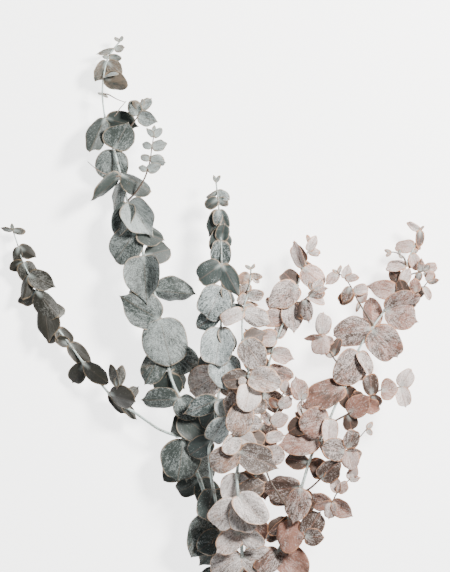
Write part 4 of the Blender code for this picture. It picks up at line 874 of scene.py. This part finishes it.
def dried_leaf(look, bloom, skin, flush, rim, under, blush):
    """Dried eucalyptus leaf: a matt, leathery skin under a powdery wax bloom.

    To the eye the bloom is a pale film that is rubbed off in patches and in grains of 1 to 2
    mm, so that the darker skin shows through; older leaves flush brown or rose between the
    veins, the rim dries tan, and the underside keeps less bloom.  blush is how much flush
    this stem's leaves have, from 0 to 1.
    """
    material, tree, shader = new_finish("dried leaf " + look)
    mark = add(tree, "Attribute", {}, attribute_name="mark")["Vector"]
    trait = add(tree, "Attribute", {}, attribute_name="trait")["Vector"]
    across, along, edge = add(tree, "SeparateXYZ", {0: mark})
    shade, flushed, below = add(tree, "SeparateXYZ", {0: trait})
    place = add(tree, "TexCoord", {})["Object"]
    speckle, grain, patch, blotch = (
        add(tree, "TexNoise", {"Vector": place, "Scale": 0.9 / (size * MM), "Detail": detail})["Fac"]
        for size, detail in ((1, 1.0), (3, 2.0), (14, 2.0), (9, 3.0))
    )
    # Fine veins fan out from the leaf's foot, a new one about every 2 mm at its middle.
    behind = add(tree, "Math", {0: along, 1: 5.0}, operation="ADD")[0]
    bearing = add(tree, "Math", {0: across, 1: behind}, operation="ARCTAN2")[0]
    fan = add(tree, "CombineXYZ", {0: bearing, 1: along, 2: flushed})[0]
    fan = add(tree, "VectorMath", {0: fan, 1: (17.0, 0.11, 40.0)}, operation="MULTIPLY")[0]
    veins = add(tree, "TexNoise", {"Vector": fan, "Scale": 1.0, "Detail": 2.0})["Fac"]
    # The side veins leave the midrib at a slant, one every VEIN_SPACING.
    away = add(tree, "Math", {0: across}, operation="ABSOLUTE")[0]
    slant = add(tree, "Math", {0: away, 1: -VEIN_SLANT, 2: along}, operation="MULTIPLY_ADD")[0]
    waves = add(tree, "Math", {0: slant, 1: 2 * math.pi / VEIN_SPACING}, operation="MULTIPLY")[0]
    wave = add(tree, "Math", {0: waves}, operation="COSINE")[0]
    vein = add(tree, "MapRange", {"Value": wave, "From Min": 0.84, "From Max": 1.0})[0]
    midrib = add(tree, "MapRange", {"Value": away, "From Min": 0.8, "From Max": 0.3})[0]
    # Sums, each as its start and then the sources with their factors.
    sums = (
        (-1.65, (speckle, 1.6), (veins, 1.1), (grain, 0.6)),  # grains and streaks of bloom
        (-1.08, (shade, 1.65), (patch, 0.95), (below, -0.15)),  # the even film of bloom
        (1.0, (below, -0.7)),  # how far the grains count: little on the underside
        (blotch, (flushed, 0.5), (grain, 0.5)),  # where the skin flushes
        (shade, (flushed, 0.35)),  # dark leaves flush only once they are old
        (0.0, (vein, 0.14), (midrib, 0.4)),  # side veins and midrib
        (edge, (grain, -1.8), (blotch, -2.4)),  # distance from the rim, frayed
    )
    totals = []
    for total, *terms in sums:
        for source, factor in terms:
            total = add(tree, "Math", {0: source, 1: factor, 2: total}, operation="MULTIPLY_ADD")[0]
        totals.append(total)
    loose, film, above, rosy, aged, line, frayed = totals
    cover = add(tree, "Math", {0: loose, 1: above, 2: film}, operation="MULTIPLY_ADD", use_clamp=True)[0]
    limits = {"From Min": 1.35 - 0.65 * blush, "From Max": 1.6 - 0.5 * blush}
    rosy = add(tree, "MapRange", {"Value": rosy, **limits})[0]
    aged = add(tree, "MapRange", {"Value": aged, "From Min": 0.4, "From Max": 0.62})[0]
    rosy = add(tree, "Math", {0: rosy, 1: aged}, operation="MULTIPLY")[0]
    bloomed = add(tree, "Math", {0: rosy, 1: -0.45 * blush, 2: 1.0}, operation="MULTIPLY_ADD")[0]
    bloomed = add(tree, "Math", {0: cover, 1: bloomed}, operation="MULTIPLY")[0]
    # Near the stem the midrib and the skin round it are pale.
    foot = add(tree, "MapRange", {"Value": along, "From Min": 9.0, "From Max": 0.0, "To Max": 0.7})[0]
    beside = add(tree, "MapRange", {"Value": away, "From Min": 3.0, "From Max": 0.4})[0]
    foot = add(tree, "Math", {0: foot, 1: beside}, operation="MULTIPLY")[0]
    dried = add(tree, "MapRange", {"Value": frayed, "From Min": -1.0, "From Max": -1.8, "To Max": 0.7})[0]
    tone = linear(skin)
    coats = ((below, under), (rosy, flush), (bloomed, bloom), (line, flush), (foot, PALE_FOOT))
    for share, colour in (*coats, (dried, rim)):
        coat = {FACTOR: share, FIRST: tone, SECOND: linear(colour)}
        tone = add(tree, "Mix", coat, data_type="RGBA")[MIXED]
    tree.links.new(tone, shader.inputs["Base Color"])
    rough = add(tree, "MapRange", {"Value": cover, "To Min": 0.55, "To Max": 0.85})[0]
    tree.links.new(rough, shader.inputs["Roughness"])
    height = add(tree, "Math", {0: speckle, 1: 0.5, 2: line}, operation="MULTIPLY_ADD")[0]
    height = add(tree, "Math", {0: veins, 1: 1.6, 2: height}, operation="MULTIPLY_ADD")[0]
    bump = add(tree, "Bump", {"Height": height, "Strength": 0.45, "Distance": 0.35 * MM})[0]
    tree.links.new(bump, shader.inputs["Normal"])
    shader.inputs["Specular IOR Level"].default_value = 0.35
    return material


def waxy_bark(name, wax, bark, scar):
    """Young eucalyptus bark: smooth and brown under pale blue-green wax.

    To the eye it is a pale stem with brown streaks along the grain where the wax has rubbed
    off, darker at the leaf nodes; a cut end shows straw-coloured wood round a small pith.
    """
    material, tree, shader = new_finish(name)
    mark = add(tree, "Attribute", {}, attribute_name="mark")["Vector"]
    trait = add(tree, "Attribute", {}, attribute_name="trait")["Vector"]
    node, cut, thin = add(tree, "SeparateXYZ", {0: trait})
    # Marks are in millimetres; along the grain they are pressed together, so streaks are long.
    grain = add(tree, "VectorMath", {0: mark, 1: (0.9, 0.9, 0.14)}, operation="MULTIPLY")[0]
    streak = add(tree, "TexNoise", {"Vector": grain, "Scale": 1.0, "Detail": 3.0})["Fac"]
    spots = add(tree, "TexNoise", {"Vector": mark, "Scale": 0.75, "Detail": 2.0})["Fac"]
    worn = add(tree, "Math", {0: thin, 1: 0.28, 2: streak}, operation="MULTIPLY_ADD")[0]
    worn = add(tree, "Math", {0: spots, 1: 0.6, 2: worn}, operation="MULTIPLY_ADD")[0]
    worn = add(tree, "MapRange", {"Value": worn, "From Min": 0.78, "From Max": 1.0})[0]
    scarred = add(tree, "Math", {0: node, 1: spots}, operation="MULTIPLY")[0]
    flat = add(tree, "VectorMath", {0: mark, 1: (1, 1, 0)}, operation="MULTIPLY")[0]
    middle = add(tree, "VectorMath", {0: flat}, operation="LENGTH")["Value"]
    pith = add(tree, "MapRange", {"Value": middle, "From Min": 0.3, "From Max": 1.0})[0]
    wood = {FACTOR: pith, FIRST: linear("#8a6a48"), SECOND: linear("#c9b08a")}
    wood = add(tree, "Mix", wood, data_type="RGBA")[MIXED]
    tone = linear(wax)
    for share, colour in ((worn, linear(bark)), (scarred, linear(scar)), (cut, wood)):
        tone = add(tree, "Mix", {FACTOR: share, FIRST: tone, SECOND: colour}, data_type="RGBA")[MIXED]
    tree.links.new(tone, shader.inputs["Base Color"])
    rough = add(tree, "MapRange", {"Value": worn, "To Min": 0.7, "To Max": 0.5})[0]
    tree.links.new(rough, shader.inputs["Roughness"])
    bump = add(tree, "Bump", {"Height": streak, "Strength": 0.4, "Distance": 0.3 * MM})[0]
    tree.links.new(bump, shader.inputs["Normal"])
    return material


def jute(name):
    """Jute twine: three plies of dull straw-brown fibre.

    To the eye it is fuzzy and matt, with fine fibres that run along each ply; the grooves between
    plies are painted darker and the crowns lighter, as painted shade and light.
    """
    material, tree, shader = new_finish(name)
    mark = add(tree, "Attribute", {}, attribute_name="mark")["Vector"]
    trait = add(tree, "Attribute", {}, attribute_name="trait")["Vector"]
    crown = add(tree, "SeparateXYZ", {0: trait})[0]
    fibres = add(tree, "VectorMath", {0: mark, 1: (2.5, 1.0, 0.5)}, operation="MULTIPLY")[0]
    fibre = add(tree, "TexNoise", {"Vector": fibres, "Scale": 1.5, "Detail": 3.0})["Fac"]
    # Painted shade and light: each ply's crown is lighter and the groove between plies darker, mixed with
    # the fibre's own streaks.
    lit = add(tree, "Math", {0: crown, 1: 0.35, 2: fibre}, operation="MULTIPLY_ADD")[0]
    lit = add(tree, "MapRange", {"Value": lit, "From Min": 0.15, "From Max": 0.85})[0]
    fibre_and_groove_shade = {FACTOR: lit, FIRST: linear("#6b4c2c"), SECOND: linear("#c39a66")}
    tone = add(tree, "Mix", fibre_and_groove_shade, data_type="RGBA")[MIXED]
    tree.links.new(tone, shader.inputs["Base Color"])
    shader.inputs["Roughness"].default_value = 0.92
    shader.inputs["Specular IOR Level"].default_value = 0.2
    bump = add(tree, "Bump", {"Height": fibre, "Strength": 0.6, "Distance": 0.2 * MM})[0]
    tree.links.new(bump, shader.inputs["Normal"])
    return material


# ---- The bunch ----


SHIFT = plan_shift()
LEAF_FINISH = {stem: dried_leaf(*look) for stem, look in LOOKS.items()}
BARK = waxy_bark("waxy eucalyptus bark", wax="#b9c9c5", bark="#6a5648", scar="#4f382c")
TWIG_BARK = waxy_bark("thin eucalyptus twig bark", wax="#a9b3ad", bark="#54443a", scar="#453128")
TWINE_FINISH = jute("jute twine")


class Growing:
    """One node's leaves: those of its solid are matched to it in the solid's own order."""

    waiting = []
    buds = 0

    def __init__(self, node, stem):
        self.node, self.stem = node, stem
        self.skins = Skins()

    def grow(self, place, leaves, clasping):
        """Numbers the leaves as the solids do; buds are numbered apart, as the solids skip them."""
        for leaf in leaves:
            base = leaf_base(*place, leaf, clasping)
            if leaf[1] < SMALLEST_LEAF:
                Growing.buds += 1
                leaf_skin(self.skins, leaf, 1000 + Growing.buds, base)
            else:
                Growing.waiting.append((self, leaf, base))


def make_stems():
    """Wood for each stem; returns each stem's route and radii, and its own piece of growing leaves."""
    routes, growing = {}, {}
    for number, (name, (radii, *points)) in enumerate(STEMS.items()):
        routes[name] = (smooth_route(points, STEM_STEP), radii)
        fine = smooth_route(points, SECTION)
        if name == "low_left":
            parent, _, _ = place_on(*routes["tall_left"], y=203)
            fine = np.vstack([parent, fine])
        rows = PAIRS.get(name, ()) + GROWN[name]
        stations = [place_on(*routes[name], y=row[0])[0] for row in rows]
        skins = Skins()
        wood_skin(skins, fine, radii, stations, 0.0, 300 + number)
        for count, bare in enumerate(BARE_TWIGS if name == "tall_left" else ()):
            wood_skin(skins, smooth_route(bare, SECTION), BARE_RADII, bare[-1:], 1.0, 500 + count)
        skins.make(f"{name}_wood", [BARK], f"{name}_stem", "stems")
        growing[name] = Growing(f"{name}_stem", name)
    return routes, growing


def make_leaf_pairs(routes):
    """Each opposite pair with the swollen joint that it clasps its stem by."""
    made = []
    for stem, rows in PAIRS.items():
        for number, (y, *leaves) in enumerate(rows, 1):
            place = place_on(*routes[stem], y=y)
            node = f"{stem}_leaf_pair_{number:02d}"
            # A pair listed here takes another stem's paler finish, partly as painted light against the
            # shadow that falls on it.
            pair = Growing(node, TURNED_AND_PAINTED_LIGHTER.get(node, stem))
            collar_skin(pair.skins, *place)
            pair.grow(place, leaves, True)
            made.append(pair)
    return made


def make_shoots(routes):
    """Each side shoot's twig, joined to its stem, and its leaves."""
    made = []
    for number, (name, (stem, y, points, rows)) in enumerate(SHOOTS.items()):
        middle, _, radius = place_on(*routes[stem], y=y)
        out = np.array(points[0]) - middle
        start = middle + out / np.linalg.norm(out) * (radius + TWIG_RADII[0] + 2 * GAP)
        route = smooth_route([start, *points], TWIG_STEP)
        shoot = Growing(name, stem)
        places = [place_on(route, TWIG_RADII, part=row[0]) for row in rows]
        fine = np.vstack([middle, smooth_route([start, *points], SECTION)])
        skins = Skins()
        wood_skin(skins, fine, TWIG_RADII, [place[0] for place in places], 1.0, 400 + number)
        skins.make(f"{name}_twig", [TWIG_BARK], name, "stems")
        for place, (_, *leaves) in zip(places, rows):
            shoot.grow(place, leaves, False)
        made.append(shoot)
    return made


def make_leaves():
    """All leaves, in the order in which the solids number theirs."""
    routes, growing = make_stems()
    made = make_leaf_pairs(routes) + make_shoots(routes)
    for stem, rows in GROWN.items():
        for y, *leaves in rows:
            growing[stem].grow(place_on(*routes[stem], y=y), leaves, False)
    made += growing.values()
    trees = {piece.node: corners_of(piece.node) for piece in made}
    for key, (piece, leaf, base) in enumerate(Growing.waiting):
        found = settled(trees[piece.node], leaf, key, base)
        if found:  # the solids leave out a leaf that finds no free place
            leaf_skin(piece.skins, leaf, key, base, *found)
    for piece in made:
        slot = "leaves_" + LOOKS[piece.stem][0].replace(" ", "_")
        piece.skins.make(f"{piece.node}_leaves", [LEAF_FINISH[piece.stem], BARK], piece.node, slot)


def make_tie():
    """Twine wound round the stems, with a small knot on top and two short tails.

    The winding is an oval screw, and the knot is a trefoil: over t, (sin t + 2 sin 2t,
    cos t - 2 cos 2t, -sin 3t), nearly once round.
    """
    skins = Skins()
    centre = np.array([0, TIE_Y, TIE_CENTRE_Z])
    turn = np.linspace(0.18, TIE_TURNS - 0.32, 400)
    angle = 2 * math.pi * turn
    reach = np.array(TIE_INNER) + TWINE / 2
    pitch = TWINE * 0.9
    winding = [np.cos(angle) * reach[0], pitch * (turn - TIE_TURNS / 2), np.sin(angle) * reach[1]]
    strand_skin(skins, centre + np.stack(winding, axis=1))
    top = centre + (1.5, 0, TIE_INNER[1] + TWINE)
    t = np.linspace(0, 2 * math.pi * 0.93, 90)
    knot = [np.sin(t) + 2 * np.sin(2 * t), np.cos(t) - 2 * np.cos(2 * t), -np.sin(3 * t)]
    strand_skin(skins, top + 0.72 * np.stack(knot, axis=1))
    for end in ((-13, -12, -6), (9, -17, -7)):
        middle = np.array(end) * (0.5, 0.45, -0.15)
        strand_skin(skins, smooth_route([top, top + middle, top + end], 1))
    skins.make("twine_winding", [TWINE_FINISH], "twine_tie", "twine")


# ---- Floor, light and camera, in metres ----


def make_floor():
    """A round matt studio floor that curves up into a wall far from the bunch.

    Over (way out, turn round), it is level up to FLOOR_RADIUS and then rises with the square
    of the way to WALL_RADIUS.  It glows a little, and less towards the top of the wall.
    """
    material, tree, shader = new_finish("pale studio floor")
    shader.inputs["Base Color"].default_value = linear("#f4f4f2")
    shader.inputs["Roughness"].default_value = 0.9
    shader.inputs["Emission Color"].default_value = (1, 1, 1, 1)
    place = add(tree, "TexCoord", {})["Object"]
    height = add(tree, "SeparateXYZ", {0: place})[2]
    fading = {"From Max": WALL_HEIGHT, "To Min": FLOOR_GLOW, "To Max": WALL_GLOW}
    glow = add(tree, "MapRange", {"Value": height, **fading})[0]
    tree.links.new(glow, shader.inputs["Emission Strength"])
    around = 64
    turn = 2 * math.pi * np.arange(around)[None, :] / around
    reach = np.concatenate([[2.0, 5.0], np.linspace(FLOOR_RADIUS, WALL_RADIUS, 17)])[:, None]
    rise = WALL_HEIGHT * np.clip((reach - FLOOR_RADIUS) / (WALL_RADIUS - FLOOR_RADIUS), 0, 1) ** 2
    rings = np.stack([reach * np.cos(turn), reach * np.sin(turn), rise + 0 * turn], axis=-1)
    quads, fans = skin_faces(len(reach), around)
    mesh = bpy.data.meshes.new("studio_floor")
    faces = quads[:, ::-1].tolist() + fans[:around, ::-1].tolist()
    mesh.from_pydata(np.vstack([np.zeros((1, 3)), rings.reshape(-1, 3)]), [], faces)
    mesh.materials.append(material)
    mesh.shade_smooth()
    floor = bpy.data.objects.new("studio_floor", mesh)
    floor.location = (0, 0, -FLOOR_DROP)
    bpy.context.scene.collection.objects.link(floor)


def make_light(name, position, size, power, colour):
    """A round light that is aimed at the middle of the bunch."""
    light = bpy.data.lights.new(name, "AREA")
    light.shape = "DISK"
    light.size = size
    light.energy = power
    light.color = colour
    lamp = bpy.data.objects.new(name, light)
    lamp.location = position
    direction = Vector((0.0, 0.06, 0.03)) - Vector(position)
    lamp.rotation_euler = direction.to_track_quat("-Z", "Y").to_euler()
    bpy.context.scene.collection.objects.link(lamp)


def make_studio():
    """A soft key light from the upper right, a weak fill from the left, and a dim surround."""
    make_light("key", (0.95, 0.75, 1.15), 0.4, 90, (1.0, 0.985, 0.96))
    make_light("fill", (-0.9, -0.5, 1.1), 1.0, 4, (0.93, 0.97, 1.0))
    world = bpy.data.worlds.new("studio surround")
    world.use_nodes = True
    background = world.node_tree.nodes["Background"]
    background.inputs["Color"].default_value = (0.95, 0.97, 1.0, 1)
    background.inputs["Strength"].default_value = 0.11
    bpy.context.scene.world = world


def make_camera():
    """Straight above the bunch, far off with a long lens, with the tips towards the top."""
    data = bpy.data.cameras.new("overhead")
    data.lens = 200
    data.sensor_width = 36
    data.clip_end = 100
    camera = bpy.data.objects.new("overhead", data)
    height = VIEW_HEIGHT * data.lens / data.sensor_width
    camera.location = (*(VIEW_MIDDLE + SHIFT[:2] * MM), height + LEAF_LEVEL)
    bpy.context.scene.collection.objects.link(camera)
    bpy.context.scene.camera = camera


make_camera()
make_studio()
make_floor()
make_tie()
make_leaves()
